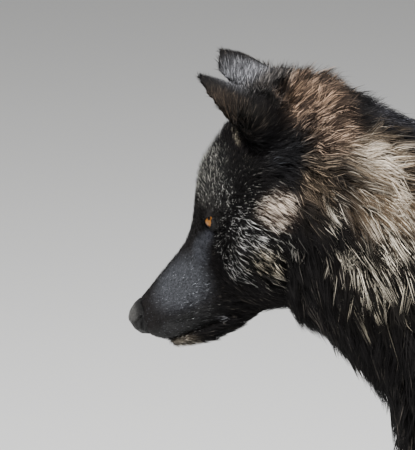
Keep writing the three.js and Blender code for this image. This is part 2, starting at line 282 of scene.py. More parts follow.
# %% How the coat lies, place by place
# piece, place (mm), reach, depth, length, width, tufts per cm2, lock spacing, lie
HEAD_COAT = [
    ("face", (22, 0, 6), 14, 1.0, 4, 0.5, 55, 0, (1, 0.0, 0.15)),
    ("face", (40, 20, -15), 20, 1.2, 4.5, 0.45, 45, 0, (1, 0.1, -0.15)),
    ("face", (75, 27, 5), 24, 1.5, 5.0, 0.42, 50, 0, (1, 0.1, -0.05)),
    ("face", (80, 0, 36), 22, 1.5, 5.0, 0.42, 50, 0, (1, 0, 0.3)),
    ("face", (92, 28, -30), 20, 2.0, 7, 0.55, 60, 0, (1, 0.1, -0.3)),
    ("face", (42, 8, -50), 16, 2.4, 8, 0.55, 70, 0, (1, 0.1, -0.3)),
    ("face", (90, 15, -58), 22, 3.5, 13, 0.65, 60, 4, (1, 0.2, -0.3)),
    ("face", (122, 0, 70), 16, 2.0, 7, 0.55, 80, 0, (0.6, 0, 1)),
    ("face", (128, 36, 44), 13, 1.2, 4, 0.45, 70, 0, (0.7, 0.3, -0.6)),
    ("face", (150, 46, 52), 12, 1.6, 5, 0.5, 80, 0, (1, 0.3, -0.1)),
    ("forehead", (143, 30, 76), 14, 3.5, 7.5, 0.45, 120, 0, (0.6, 0.2, 1)),
    ("cheek", (138, 60, 8), 18, 3.5, 8, 0.42, 130, 0, (1, 0.1, -0.45)),
    ("forehead", (180, 64, 72), 22, 7, 10.5, 0.45, 120, 0, (1, 0.2, -0.1)),
    ("forehead", (168, 15, 106), 26, 5, 8.5, 0.45, 125, 0, (0.8, 0.2, 1)),
    ("forehead", (212, 0, 122), 20, 5, 14, 0.6, 85, 0, (1, 0, 0.3)),
    ("cheek", (180, 78, 22), 22, 7, 10.5, 0.45, 120, 0, (0.9, 0.1, -0.6)),
    ("cheek", (220, 86, 30), 20, 11, 17, 0.5, 110, 5, (0.7, 0.2, -0.8)),
    ("cheek", (245, 92, 0), 24, 15, 30, 0.8, 48, 8, (0.5, 0.1, -1)),
    ("cheek", (155, 52, -42), 24, 8, 18, 0.75, 48, 5, (1, 0.1, -0.5)),
    ("cheek", (185, 20, -76), 30, 12, 30, 1.0, 28, 8, (1, 0.1, -0.5)),
    ("ear", (214, 61, 168), 24, 2.4, 6, 0.5, 110, 0, (0.3, 0, 1)),
    ("ear", (222, 40, 150), 14, 2.2, 6.5, 0.5, 100, 0, (0.5, 0.1, 0.6)),
    ("ear", (236, 62, 145), 16, 2.4, 7, 0.55, 100, 0, (0.7, 0.1, 0.4)),
    ("ear", (250, 48, 130), 15, 3.5, 12, 0.55, 95, 0, (1, 0.2, 0.3)),
    ("ear", (236, 82, 124), 14, 4, 12, 0.55, 95, 0, (0.5, 0.3, 0.6)),
    ("ear", (224, 82, 136), 10, 3, 10, 0.5, 110, 0, (-0.6, 0, 0.8)),
    ("forehead", (262, 70, 92), 22, 11, 18, 0.6, 75, 0, (0.9, 0.25, -0.35)),
    ("forehead", (232, 74, 100), 14, 7, 13, 0.55, 80, 0, (0.9, 0.25, 0.1)),
    ("nape", (272, 15, 118), 20, 6, 19, 0.65, 75, 5, (1, 0.1, 0.7)),
]
BODY_COAT = [
    ("nape", (-432, 20, 838), 34, 22, 32, 0.65, 66, 7, (1, 0.1, 0.9)),
    ("nape", (-420, 66, 808), 30, 22, 30, 0.65, 66, 7, (0.9, 0.2, 0.6)),
    ("mane", (-428, 96, 755), 32, 24, 32, 0.6, 64, 8, (0.6, 0.1, -0.8)),
    ("mane", (-375, 70, 792), 26, 26, 40, 0.6, 64, 8, (1, 0.1, 0.6)),
    ("mane", (-378, 102, 735), 38, 30, 44, 0.6, 64, 8, (0.55, 0.05, -0.9)),
    ("fringe", (-385, 108, 670), 42, 30, 52, 0.52, 58, 5.6, (0.22, 0, -1)),
    ("fringe", (-410, 90, 640), 36, 26, 50, 0.52, 46, 5.6, (0.22, 0, -1)),
    ("throat", (-455, 50, 650), 42, 18, 36, 1.0, 26, 9, (0.5, 0, -1)),
    ("throat", (-385, 40, 560), 56, 24, 48, 1.2, 16, 11, (0.3, 0, -1)),
    ("back", (-270, 0, 800), 60, 28, 60, 1.8, 10, 13, (1, 0, -0.05)),
    ("mane", (-300, 110, 700), 50, 26, 62, 1.5, 15, 15, (0.6, 0, -0.9)),
    ("flank", (-230, 115, 600), 70, 20, 48, 2.1, 4.8, 13, (0.6, 0, -0.9)),
    ("back", (0, 0, 780), 110, 22, 52, 2.3, 3.8, 15, (1, 0, -0.1)),
    ("flank", (0, 115, 620), 110, 22, 52, 2.3, 3.4, 15, (1, 0, -0.35)),
    ("belly", (0, 20, 430), 110, 20, 52, 2.4, 2.6, 15, (1, 0, -0.25)),
    ("back", (400, 0, 780), 90, 18, 46, 2.3, 3.8, 14, (1, 0, -0.35)),
    ("flank", (420, 90, 660), 80, 16, 42, 2.1, 3.8, 13, (0.6, 0, -1)),
    ("tail", (520, 0, 690), 45, 16, 46, 2.6, 5, 12, (0.35, 0, -1)),
    ("tail", (560, 0, 500), 80, 28, 74, 2.6, 5.6, 14, (0.15, 0, -1)),
    ("tail", (573, 0, 330), 40, 18, 56, 2.4, 6.5, 12, (0.02, 0, -1)),
    ("foreleg", (-270, 90, 490), 60, 10, 28, 2.4, 5, 11, (0.3, 0, -1)),
    ("foreleg", (-280, 80, 260), 80, 3.0, 12, 1.7, 8, 0, (0.15, 0, -1)),
    ("foreleg", (-310, 75, 95), 35, 2.6, 10, 1.2, 16, 0, (-0.15, 0, -1)),
    ("foreleg", (-345, 75, 32), 40, 2.0, 7, 0.9, 32, 0, (-1, 0, -0.5)),
    ("hindleg", (400, 100, 560), 70, 12, 32, 2.1, 4, 12, (0.35, 0, -1)),
    ("hindleg", (420, 80, 350), 60, 4.5, 15, 2.0, 6, 0, (0.6, 0, -1)),
    ("hindleg", (480, 78, 170), 60, 3.0, 12, 1.7, 7, 0, (-0.1, 0, -1)),
    ("hindleg", (440, 73, 32), 40, 2.0, 7, 0.9, 32, 0, (-1, 0, -0.5)),
]
PIECES = sorted({row[0] for row in HEAD_COAT + BODY_COAT})
MEASURES = ("depth", "length", "width", "dense", "lock")


def coat_at(points):
    """The coat's depth, length, width, density, lock spacing, lie and piece at these points."""
    total = np.zeros((len(points), 8))
    weights = np.zeros(len(points))
    best = np.zeros(len(points))
    piece = np.zeros(len(points), int)
    in_head = to_head(points)
    for rows, place, turned in ((HEAD_COAT, in_head, HEAD_TURN), (BODY_COAT, points, np.eye(3))):
        side = np.where(place[:, 1] < 0, -1.0, 1.0)
        one_side = folded(place)
        for name, centre, reach, depth, length, width, dense, lock, lie in rows:
            away = ((one_side - centre) ** 2).sum(1) / (2 * reach * reach)
            weight = np.exp(-np.minimum(away, 60)) + 1e-12 / (1 + away)
            flow = np.stack([np.full_like(side, lie[0]), side * lie[1], np.full_like(side, lie[2])], 1)
            flow = unit(flow) @ turned.T
            values = np.tile([depth, length, width, dense, lock], (len(points), 1))
            total += weight[:, None] * np.concatenate([values, flow], 1)
            weights += weight
            piece = np.where(weight > best, PIECES.index(name), piece)
            best = np.maximum(best, weight)
    total /= weights[:, None]
    return {**dict(zip(MEASURES, total.T)), "lie": unit(total[:, 5:8]), "piece": piece}


print("coat pieces:", PIECES)

# %% [markdown]
# The skin starts as a copy of every node of flesh, each swollen by half a millimetre so that neighbours
# touch, plus a ball that fills each eye socket and one at the root of each ear. A voxel remesh turns the
# lot into one closed surface, as a sculptor lays clay over an armature. That is why no seam shows between
# the head and the neck, or a leg and the body.

# %% One closed surface from the nodes of flesh
VOXEL = 2.9
SWELL = 0.5
EAR_ROOT, EAR_BALL = (236, 56, 106), 22  # in the head's frame
SOCKET_ROOM = 1.5
OTHERS = ("nose", "eye_left", "eye_right")
flesh_nodes = [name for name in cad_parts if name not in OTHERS]


def add_ball(form, centre, radius):
    place = Matrix.Translation(Vector(centre * MM)) @ Matrix.Scale(radius * MM, 4)
    bmesh.ops.create_icosphere(form, subdivisions=4, radius=1, matrix=place)


def welded(node, swell=0.0):
    """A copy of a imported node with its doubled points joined, swollen along its normals."""
    form = bmesh.new()
    form.from_mesh(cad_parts[node].data)
    bmesh.ops.remove_doubles(form, verts=form.verts, dist=1e-6)
    form.normal_update()
    for vertex in form.verts:
        vertex.co += vertex.normal * swell * MM
    mesh = bpy.data.meshes.new("welded")
    form.to_mesh(mesh)
    form.free()
    return mesh


def gathered_flesh():
    form = bmesh.new()
    for name in flesh_nodes:
        swollen = welded(name, SWELL)
        form.from_mesh(swollen)
        bpy.data.meshes.remove(swollen)
    for side in (-1, 1):
        add_ball(form, from_head([EYE_BACK + 1, side * (EYE_OUT - 1), EYE_UP]), EYE_RADIUS + SOCKET_ROOM)
        add_ball(form, from_head(np.array(EAR_ROOT) * [1, side, 1]), EAR_BALL)
    mesh = bpy.data.meshes.new("flesh")
    form.to_mesh(mesh)
    form.free()
    return mesh


def applied(obj):
    """The mesh that an object's modifiers make; the object goes."""
    bpy.context.view_layer.update()
    ready = obj.evaluated_get(bpy.context.evaluated_depsgraph_get())
    mesh = bpy.data.meshes.new_from_object(ready)
    bpy.data.objects.remove(obj)
    return mesh


def remeshed(mesh, voxel):
    """The mesh as one closed surface of even cells."""
    obj = put_in_scene("clay", mesh)
    clay = obj.modifiers.new("clay", "REMESH")
    clay.mode = "VOXEL"
    clay.voxel_size = voxel * MM
    return applied(obj)


skin_mesh = remeshed(gathered_flesh(), VOXEL)
skin_mesh.name = "skin"
print("clay:", len(skin_mesh.vertices), "points")

# %% [markdown]
# The clay is now relaxed, which melts the facets of the solids, and then sunk by the depth of the coat. The
# depth is evened out over the surface first, or the skin would fold where a deep coat meets a short one.

# %% Sink the skin by the coat's depth
FOOT_HEIGHT = 75  # below this the clay is relaxed at half strength, or the toes would melt
LEAST_FLOOR = 1.2  # how far above the floor the soles stay


def biggest_shell(mesh):
    """Drops the specks that a remesh leaves where two toes almost touch."""
    with opened(mesh) as form:
        form.verts.ensure_lookup_table()
        seen = np.zeros(len(form.verts), bool)
        shells = []
        for start in form.verts:
            if seen[start.index]:
                continue
            seen[start.index] = True
            shell, todo = [start], [start]
            while todo:
                for edge in todo.pop().link_edges:
                    for vertex in edge.verts:
                        if not seen[vertex.index]:
                            seen[vertex.index] = True
                            shell.append(vertex)
                            todo.append(vertex)
            shells.append(shell)
        shells.sort(key=len)
        specks = [vertex for shell in shells[:-1] for vertex in shell]
        bmesh.ops.delete(form, geom=specks, context="VERTS")


def sunk_skin(mesh):
    points, faces, edges = read_mesh(mesh)
    coat = coat_at(points)
    points = relaxed(points, edges, 14, np.where(points[:, 2] < FOOT_HEIGHT, 0.5, 1.0))
    points = relaxed(points, edges, 24, (coat["piece"] == PIECES.index("ear")) * 1.0)
    far_back = smooth_step(points[:, 0], -480, -380) * np.where(points[:, 2] < 90, 0.2, 1)
    points = relaxed(points, edges, 20, far_back)
    outline = BVHTree.FromPolygons(points.tolist(), faces.tolist())
    depth = coat["depth"][:, None]
    for _ in range(12):
        depth = neighbour_mean(depth, edges)
    inwards = normals_of(points, faces)
    for _ in range(6):
        inwards = unit(neighbour_mean(inwards, edges))
    sunk = points - inwards * depth
    sunk[:, 2] = np.maximum(sunk[:, 2], np.minimum(points[:, 2], LEAST_FLOOR))
    even = smooth_step(depth[:, 0], 5, 12)
    sunk = relaxed(sunk, edges, 12, even)
    write_points(mesh, sunk)
    return outline


biggest_shell(skin_mesh)
coat_outline = sunk_skin(skin_mesh)
print("skin:", len(skin_mesh.vertices), "points in one shell")

# %% [markdown]
# Detail goes where eyes look. The face is divided once more, the rims of the eyes twice more, and the body,
# which lies under a deep coat, gives up faces until about a quarter of them all are left.

# %% Fine on the face, coarse under the coat
SHARE_LEFT = 0.24


def eye_frame(side):
    """An eyeball's middle, and its gaze, inward and upward directions, in the head's frame."""
    middle = np.array([EYE_BACK, EYE_OUT, EYE_UP]) + EYE_SET
    middle = middle * [1, side, 1]
    gaze = np.array([-math.cos(EYE_GAZE), side * math.sin(EYE_GAZE), 0])
    inward = np.array([-math.sin(EYE_GAZE), -side * math.cos(EYE_GAZE), 0])
    return middle, gaze, inward, np.array([0, 0, 1.0])


def near_eye(in_head):
    """Distance to the nearer eyeball's middle."""
    return np.linalg.norm(folded(in_head) - eye_frame(1)[0], axis=1)


def divide_where(mesh, chosen):
    """Divides the faces whose points are all chosen."""
    mask = chosen(read_mesh(mesh)[0])
    with opened(mesh) as form:
        edges = [e for e in form.edges if mask[e.verts[0].index] and mask[e.verts[1].index]]
        bmesh.ops.subdivide_edges(form, edges=edges, cuts=1, use_grid_fill=True)
        bmesh.ops.triangulate(form, faces=[f for f in form.faces if len(f.verts) > 4])


def face_area(points):
    at = to_head(points)
    return (at[:, 0] < 172) & (np.abs(at[:, 1]) < 72) & (at[:, 2] > -72) & (at[:, 2] < 92)


def eye_area(points):
    return near_eye(to_head(points)) < 21


def thinned(mesh, share):
    """Collapses faces, but only away from the head and the feet."""
    obj = put_in_scene("thinning", mesh)
    points = read_mesh(mesh)[0]
    ready = smooth_step(points[:, 0], -430, -330) * smooth_step(points[:, 2], 70, 110)
    ready = np.maximum(ready, 0.12 * (to_head(points)[:, 0] > 185))
    group = obj.vertex_groups.new(name="thin")
    for level in np.unique(ready.round(1)):
        group.add(np.flatnonzero(ready.round(1) == level).tolist(), float(level), "REPLACE")
    thinner = obj.modifiers.new("thinner", "DECIMATE")
    thinner.ratio = share
    thinner.vertex_group = "thin"
    return applied(obj)


skin_mesh = thinned(skin_mesh, SHARE_LEFT)
print("thinned:", len(skin_mesh.vertices), "points", len(skin_mesh.polygons), "faces")
for area in (face_area, eye_area):
    divide_where(skin_mesh, area)
    points, faces, edges = read_mesh(skin_mesh)
    write_points(skin_mesh, relaxed(points, edges, 3, area(points).astype(float)))
print("skin:", len(skin_mesh.vertices), "points", len(read_mesh(skin_mesh)[1]), "triangles")

# %% [markdown]
# A head is read by its small forms: the ridge of the brow, the hollow behind the eye, the flat cheekbone, the
# lip that hangs over the jaw. Each is a mould here, a place on the head that is pushed out or in along the
# skin's own normal, and fades with distance. The mouth is a groove along a line, because it is shut.

# %% Sculpt the face
# place (back, out, up), reach along each axis, push
FACE_MOULDS = [
    ((141, 36, 65), (10, 9, 5), 2.6),  # brow ridge
    ((166, 44, 66), (12, 10, 9), 1.2),
    ((141, 60, 24), (7, 14, 16), -2.6),  # hollow behind the eye
    ((160, 64, 10), (14, 12, 7), 1.6),  # cheekbone
    ((127, 34, 33), (7, 8, 9), -1.2),  # tear trough
    ((116, 22, 52), (8, 10, 12), -1.0),  # side of the stop
    ((60, 24, -31), (30, 12, 6), 1.4),  # upper lip
    ((34, 20, -26), (9, 10, 9), 0.8),  # whisker pad
    ((98, 26, -38), (7, 9, 6), 1.6),  # fold at the corner of the mouth
    ((170, 0, 104), (26, 5, 20), -2.0),  # furrow of the forehead
    ((60, 0, 30), (40, 4, 12), -0.5),
]
# The same, but drawn a stated way in the head's frame.
FACE_PULLS = [
    ((227, 76, 130), (11, 14, 17), (-6, 0, -1)),  # front of the near ear's root
    ((205, 42, 176), (9, 11, 18), (-3.5, 0, 0.5)),  # front edge of the other ear
    ((259, 30, 127), (14, 18, 13), (0, 0, 8)),  # hollow behind it
]
LIP_LINE = [(18, -31), (27, -37), (40, -40), (58, -42), (76, -44), (94, -44.5), (103, -43)]
LIP_DEPTH, LIP_REACH = 3.4, 1.7
NOSE_RIM = 0.6  # how far the muzzle rises where it meets the nose


def from_nose_pad(points):
    """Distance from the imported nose, for the points near it."""
    pad_points, pad_faces, _ = read_mesh(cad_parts["nose"].data)
    pad = BVHTree.FromPolygons(pad_points.tolist(), pad_faces.tolist())
    away = np.full(len(points), 99.0)
    for row in np.flatnonzero(to_head(points)[:, 0] < 45):
        away[row] = pad.find_nearest(points[row].tolist())[3]
    return away


def sculpted(points, faces):
    at = to_head(points)
    one_side = folded(at)
    outwards = normals_of(points, faces)
    push = np.zeros(len(points))
    for place, reach, amount in FACE_MOULDS:
        push += amount * nearness(one_side, place, reach, 2)
    lip = distance_to_path(at[:, [0, 2]], LIP_LINE)
    under_nose = smooth_step(at[:, 0], 14, 22) * (one_side[:, 1] > 1)
    push -= LIP_DEPTH * np.exp(-((lip / LIP_REACH) ** 2) / 2) * under_nose
    push += NOSE_RIM * (1 - smooth_step(from_nose_pad(points), 0, 9))
    pull = np.zeros_like(points)
    for place, reach, way in FACE_PULLS:
        pull += nearness(one_side, place, reach, 2)[:, None] * np.array(way, float)
    return points + outwards * push[:, None] + pull @ HEAD_TURN.T


print("moulds:", len(FACE_MOULDS), "pulls:", len(FACE_PULLS))

# %% [markdown]
# The lids are the skin itself, drawn over the eyeball. Points around the eye are set a lid's thickness off
# the ball, and those inside the almond-shaped opening are tucked in behind it. The opening slants: its inner
# corner, towards the nose, is the lower one, and the upper lid sits low, as it does in a wolf that stares.

# %% Lids
LID = 1.7
LID_REACH = 30  # from the eyeball's middle; past it nothing belongs to the lids
TUCK = 3.5  # how far behind the ball's surface the opening is tucked
OPENING_HALF = math.radians(52)
OPENING_UPPER = math.radians(14)
OPENING_LOWER = math.radians(25)
OPENING_SLANT = math.radians(-24)


def eye_angles(in_head, side):
    """How far points lie inward and upward of the gaze, as angles about the eyeball, and their distance."""
    middle, gaze, inward, up = eye_frame(side)
    away = in_head - middle
    distance = np.linalg.norm(away, axis=1)
    ahead = away @ gaze
    across, rise = away @ inward, away @ up
    swing = np.arctan2(np.hypot(across, rise), ahead)
    turn_by = np.arctan2(rise, across) - OPENING_SLANT
    return swing * np.cos(turn_by), swing * np.sin(turn_by), distance


def opening_measure(in_head, side):
    """Under 1 inside the opening of the lids, 1 on their rim."""
    across, rise, _ = eye_angles(in_head, side)
    half = np.where(rise > 0, OPENING_UPPER, OPENING_LOWER)
    width = np.clip(1 - (across / OPENING_HALF) ** 2, 0.0, 1) ** 0.8 * half
    return np.where(np.abs(across) < OPENING_HALF, np.abs(rise) / np.maximum(width, 1e-4), 1e3)


def rim_measure(in_head):
    """The opening measure at the nearer eye."""
    return np.minimum(*(opening_measure(in_head, side) for side in (-1, 1)))


def lidded(points):
    at = to_head(points)
    for side in (-1, 1):
        middle, gaze, _, _ = eye_frame(side)
        across, rise, distance = eye_angles(at, side)
        swing = np.hypot(across, rise)
        measure = opening_measure(at, side)
        near = 1 - smooth_step(swing, math.radians(50), math.radians(95))
        near *= distance < LID_REACH
        lid = EYE_RADIUS + LID + 5 * smooth_step(swing, math.radians(55), math.radians(100))
        wanted = np.where(measure < 1, EYE_RADIUS - TUCK, lid)
        near = np.where(measure < 1, 1.0 * (distance < LID_REACH), near)
        scale = 1 + near * (wanted / np.maximum(distance, 1e-6) - 1)
        at = middle + (at - middle) * scale[:, None]
    return from_head(at)


points, faces, _ = read_mesh(skin_mesh)
write_points(skin_mesh, lidded(sculpted(points, faces)))
shade_smooth(skin_mesh)
skin = put_in_scene("skin", skin_mesh)
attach(skin, "root")
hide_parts(*flesh_nodes)
print("face sculpted")

# %% [markdown]
# A black wolf isn't plain black. The brow and cheeks are salted with white tips, a tan patch lies on the cheek,
# the nape is chestnut, and the ruff runs out into cream locks. The blue-grey sheen of the muzzle is painted
# light, reflected light set down as colour, and a few more rows paint sheen or shade the same way. Each marking
# is a soft-edged egg in space: the colour near the root, the colour of a pale tip, and the share of tufts that
# have such a tip. Skin and coat both ask this one table, so they always agree.

# %% Markings
BLACK, FAINT_BROWN, FEW = (0.0063, 0.0057, 0.0057), (0.075, 0.065, 0.055), 0.05  # where no marking lies
# place, reach along each axis, colour of the ground, colour of a pale tip, share of pale tips
HEAD_MARKS = [
    ((182, 66, 22), (46, 40, 62), (0.0075, 0.007, 0.007), (0.62, 0.60, 0.55), 0.06),  # salt over all
    # painted sheen: the blue-grey of the muzzle is reflected light set down as colour, over near-black fur
    ((81, 25, 6), (38, 26, 28), (0.0225, 0.0235, 0.0265), (0.38, 0.40, 0.44), 0.09),  # sheen of the muzzle
    ((60, 25, -31), (44, 22, 13), (0.006, 0.006, 0.006), (0.22, 0.22, 0.22), 0.09),  # upper lip
    ((42, 10, -49), (22, 16, 9), (0.033, 0.0255, 0.018), (0.70, 0.63, 0.52), 0.34),  # chin
    # painted highlight: a pale streak of light on the fold at the corner of the mouth
    ((97.5, 25, -43.5), (7.5, 9, 2.2), (0.05, 0.05, 0.055), (0.50, 0.50, 0.53), 0.5),  # corner of the mouth
    ((165, 32, 92), (30, 42, 30), (0.0075, 0.0075, 0.0075), (1.00, 0.97, 0.87), 0.135),  # salt on the brow
    ((178, 62, 66), (16, 18, 16), (0.0075, 0.0075, 0.0075), (1.00, 0.97, 0.89), 0.12),
    ((180, 76, 20), (22, 20, 34), (0.0095, 0.0090, 0.0090), (1.00, 0.98, 0.95), 0.165),  # white streaks
    ((150, 62, -8), (17, 16, 18), (0.0095, 0.0095, 0.0095), (1.00, 0.98, 0.95), 0.155),
    ((182, 72, -20), (26, 22, 24), (0.009, 0.0083, 0.0067), (0.98, 0.85, 0.62), 0.22),  # olive lower cheek
    ((221, 87, 28), (25, 22, 23), (0.05, 0.034, 0.025), (1.00, 0.84, 0.68), 0.64),  # tan cheek
    # painted sheen: a lighter blue-grey band below the eye that joins the muzzle's painted sheen
    ((118, 31, 26), (15, 12, 15), (0.024, 0.025, 0.029), (0.20, 0.21, 0.24), 0.10),  # sheen below the eye
    # painted shade: the hollow behind the eye is kept near-black, with fewer white tips than the cheek around
    # it
    ((143, 58, 30), (8, 14, 20), (0.008, 0.008, 0.008), (0.62, 0.61, 0.58), 0.06),  # hollow behind the eye
    # painted highlight: lighter blue-grey light on the lower lid below the eye's inner corner
    ((133, 40, 38), (7, 7, 8), (0.03, 0.0315, 0.039), (0.17, 0.17, 0.20), 0.20),  # tear trough
    # the black behind the ear is its own; the faint blue-grey of its tips is painted sheen
    ((256, 80, 78), (30, 30, 36), (0.006, 0.006, 0.0067), (0.042, 0.0462, 0.0532), 0.10),  # behind the ear
    ((283, 70, 97), (17, 26, 20), (0.0095, 0.008, 0.0072), (0.085, 0.066, 0.052), 0.16),
    ((252, 94, 8), (12, 20, 24), (0.006, 0.006, 0.006), (0.084, 0.07, 0.056), 0.05),
    # painted sheen: the ears' inner edge is painted grey-blue, the light that the upturned backs of the ears
    # reflect
    ((230, 36, 158), (46, 22, 36), (0.045, 0.045, 0.048), (0.44, 0.44, 0.47), 0.28),  # ears, inner edge
    # painted light: these three rows lighten the fur between and behind the ears, which lies in the ears'
    # shadow
    ((230, 22, 134), (34, 20, 20), (0.016, 0.016, 0.017), (0.20, 0.20, 0.21), 0.24),  # between the ears
    ((250, 33, 142), (22, 22, 22), (0.018, 0.0165, 0.016), (0.20, 0.18, 0.165), 0.24),
    ((262, 26, 127), (12, 18, 11), (0.058, 0.043, 0.034), (0.42, 0.31, 0.235), 0.34),
    ((228, 84, 148), (34, 19, 44), (0.0105, 0.0080, 0.0063), (0.075, 0.054, 0.038), 0.28),  # ears, outer face
    ((244, 78, 122), (24, 18, 15), (0.0075, 0.0067, 0.006), (0.06, 0.048, 0.038), 0.15),
    ((210, 40, 111), (3.4, 16, 10), (0.05, 0.042, 0.031), (0.62, 0.55, 0.42), 0.42),  # tan at the ear's front
]
BODY_MARKS = [
    ((-434, 42, 822), (38, 46, 22), (0.040, 0.027, 0.019), (0.58, 0.385, 0.255), 0.23),  # chestnut nape
    ((-410, 66, 803), (26, 36, 28), (0.042, 0.028, 0.020), (0.66, 0.465, 0.33), 0.25),
    ((-430, 96, 755), (24, 34, 46), (0.036, 0.027, 0.018), (0.42, 0.31, 0.21), 0.26),  # brown side
    ((-362, 84, 782), (42, 44, 40), (0.42, 0.32, 0.22), (1.00, 0.88, 0.72), 0.88),  # cream ruff
    ((-350, 105, 735), (56, 40, 46), (0.19, 0.135, 0.085), (1.00, 0.88, 0.71), 0.74),
    ((-378, 106, 672), (50, 40, 28), (0.012, 0.010, 0.008), (1.00, 0.90, 0.72), 0.27),  # its last locks
    ((-414, 102, 722), (8, 34, 24), (0.016, 0.013, 0.010), (1.00, 0.90, 0.74), 0.50),  # a dark gap
    ((-372, 100, 630), (52, 44, 24), (0.0085, 0.0075, 0.0065), (0.60, 0.53, 0.40), 0.07),
    # the back is black; the blue-grey of its ground and tips is painted sheen
    ((-330, 0, 805), (60, 30, 30), (0.0135, 0.0135, 0.0165), (0.17, 0.17, 0.20), 0.25),  # black back
    ((-245, 110, 640), (70, 50, 90), (0.021, 0.017, 0.0135), (0.20, 0.16, 0.12), 0.22),  # grizzled shoulder
    ((80, 110, 600), (190, 50, 90), (0.022, 0.0175, 0.014), (0.10, 0.08, 0.06), 0.30),
    ((400, 90, 600), (80, 50, 80), (0.019, 0.015, 0.012), (0.085, 0.068, 0.05), 0.28),
]


SOFT_EDGE = (0.55, 1.35)  # a marking is whole up to the first share of its reach, and gone at the second


def marking_at(points):
    """Ground colour, colour of a pale tip and share of pale tips at these points."""
    mixed = np.tile([*BLACK, *FAINT_BROWN, FEW], (len(points), 1))
    for rows, place in ((BODY_MARKS, points), (HEAD_MARKS, to_head(points))):
        one_side = folded(place)
        for centre, reach, ground, tip, share in rows:
            away = np.sqrt((((one_side - centre) / reach) ** 2).sum(1))
            cover = (1 - smooth_step(away, *SOFT_EDGE))[:, None]
            mixed = mixed * (1 - cover) + cover * np.array([*ground, *tip, share])
    return mixed[:, :3], mixed[:, 3:6], mixed[:, 6]


print("markings:", len(HEAD_MARKS) + len(BODY_MARKS))

# %% [markdown]
# Materials are wired by small helpers, so that each finish reads as a short list. They make a node and set
# its values, make a group with named inputs and outputs that several finishes share, put such a group to use,
# mix two colours, and run a value through a ramp of colours.

# %% Wiring helpers


def add_node(tree, kind, inputs=None, **settings):
    """A node with its settings; inputs are values, or sockets to link from."""
    node = tree.nodes.new("ShaderNode" + kind)
    for name, value in settings.items():
        setattr(node, name, value)
    for name, value in (inputs or {}).items():
        if isinstance(value, bpy.types.NodeSocket):
            tree.links.new(value, node.inputs[name])
        else:
            node.inputs[name].default_value = value
    return node


def new_group(name, inputs, outputs):
    """A shader group; inputs and outputs are (name, kind, value) rows."""
    tree = bpy.data.node_groups.new(name, "ShaderNodeTree")
    for direction, rows in (("INPUT", inputs), ("OUTPUT", outputs)):
        for label, kind, value in rows:
            socket = tree.interface.new_socket(label, in_out=direction, socket_type=f"NodeSocket{kind}")
            if value is not None:
                socket.default_value = value
    return tree, tree.nodes.new("NodeGroupInput"), tree.nodes.new("NodeGroupOutput")


def use_group(tree, group, inputs):
    return add_node(tree, "Group", inputs, node_tree=group)


def mixed_colour(tree, share, first, second):
    """The colour between two. A colour Mix node keeps them at sockets 6 and 7, and its result at 2."""
    return add_node(tree, "Mix", {0: share, 6: first, 7: second}, data_type="RGBA").outputs[2]


def ramp_colour(tree, value, stops):
    """The colour that a value has on a ramp; stops are (position, colour) rows."""
    ramp = add_node(tree, "ValToRGB", {"Fac": value})
    elements = ramp.color_ramp.elements
    for row, (position, colour) in enumerate(stops):
        element = elements[row] if row < 2 else elements.new(position)
        element.position = position
        element.color = (*colour, 1)
    return ramp.outputs["Color"]


print("wiring helpers ready")





# %% [markdown]
# Two effects are shared. The first breaks a colour up a little, because no two hairs are dyed alike. The
# second is flat fur as a bump: noise drawn out along the lie of the hair, which on the face runs straight
# back from the nose.

# %% Shared finishes: uneven dye, flat fur
uneven_dye, dye_in, dye_out = new_group(
    "uneven_dye",
    [("Colour", "Color", (0.5, 0.5, 0.5, 1)), ("Fineness", "Float", 300.0), ("Amount", "Float", 0.35)],
    [("Colour", "Color", None)],
)
own_place = add_node(uneven_dye, "TexCoord")
blotch = add_node(
    uneven_dye,
    "TexNoise",
    {"Vector": own_place.outputs["Object"], "Scale": dye_in.outputs["Fineness"], "Detail": 2.0},
)
around_one = add_node(
    uneven_dye,
    "MapRange",
    {"Value": blotch.outputs["Fac"], "From Min": 0.3, "From Max": 0.7, "To Min": 0.55, "To Max": 1.45},
)
dyed = add_node(
    uneven_dye,
    "VectorMath",
    {0: dye_in.outputs["Colour"], "Scale": around_one.outputs["Result"]},
    operation="SCALE",
)
dye_mix = mixed_colour(uneven_dye, dye_in.outputs["Amount"], dye_in.outputs["Colour"], dyed.outputs["Vector"])
uneven_dye.links.new(dye_mix, dye_out.inputs["Colour"])

flat_fur, fur_in, fur_out = new_group(
    "flat_fur",
    [("Strength", "Float", 0.5), ("Depth", "Float", 0.0006)],
    [("Normal", "Vector", None), ("Specks", "Float", None)],
)
own_place = add_node(flat_fur, "TexCoord")
# Drawn out eightfold along the face, from the nose back.
along_face = add_node(
    flat_fur,
    "Mapping",
    {"Vector": own_place.outputs["Object"], "Rotation": (0, HEAD_PITCH, HEAD_YAW), "Scale": (0.14, 1, 1)},
)
strands = add_node(
    flat_fur,
    "TexNoise",
    {"Vector": along_face.outputs["Vector"], "Scale": 1100.0, "Detail": 3.0, "Roughness": 0.6},
)
strand_bump = add_node(
    flat_fur,
    "Bump",
    {
        "Height": strands.outputs["Fac"],
        "Strength": fur_in.outputs["Strength"],
        "Distance": fur_in.outputs["Depth"],
    },
)
flat_fur.links.new(strand_bump.outputs["Normal"], fur_out.inputs["Normal"])
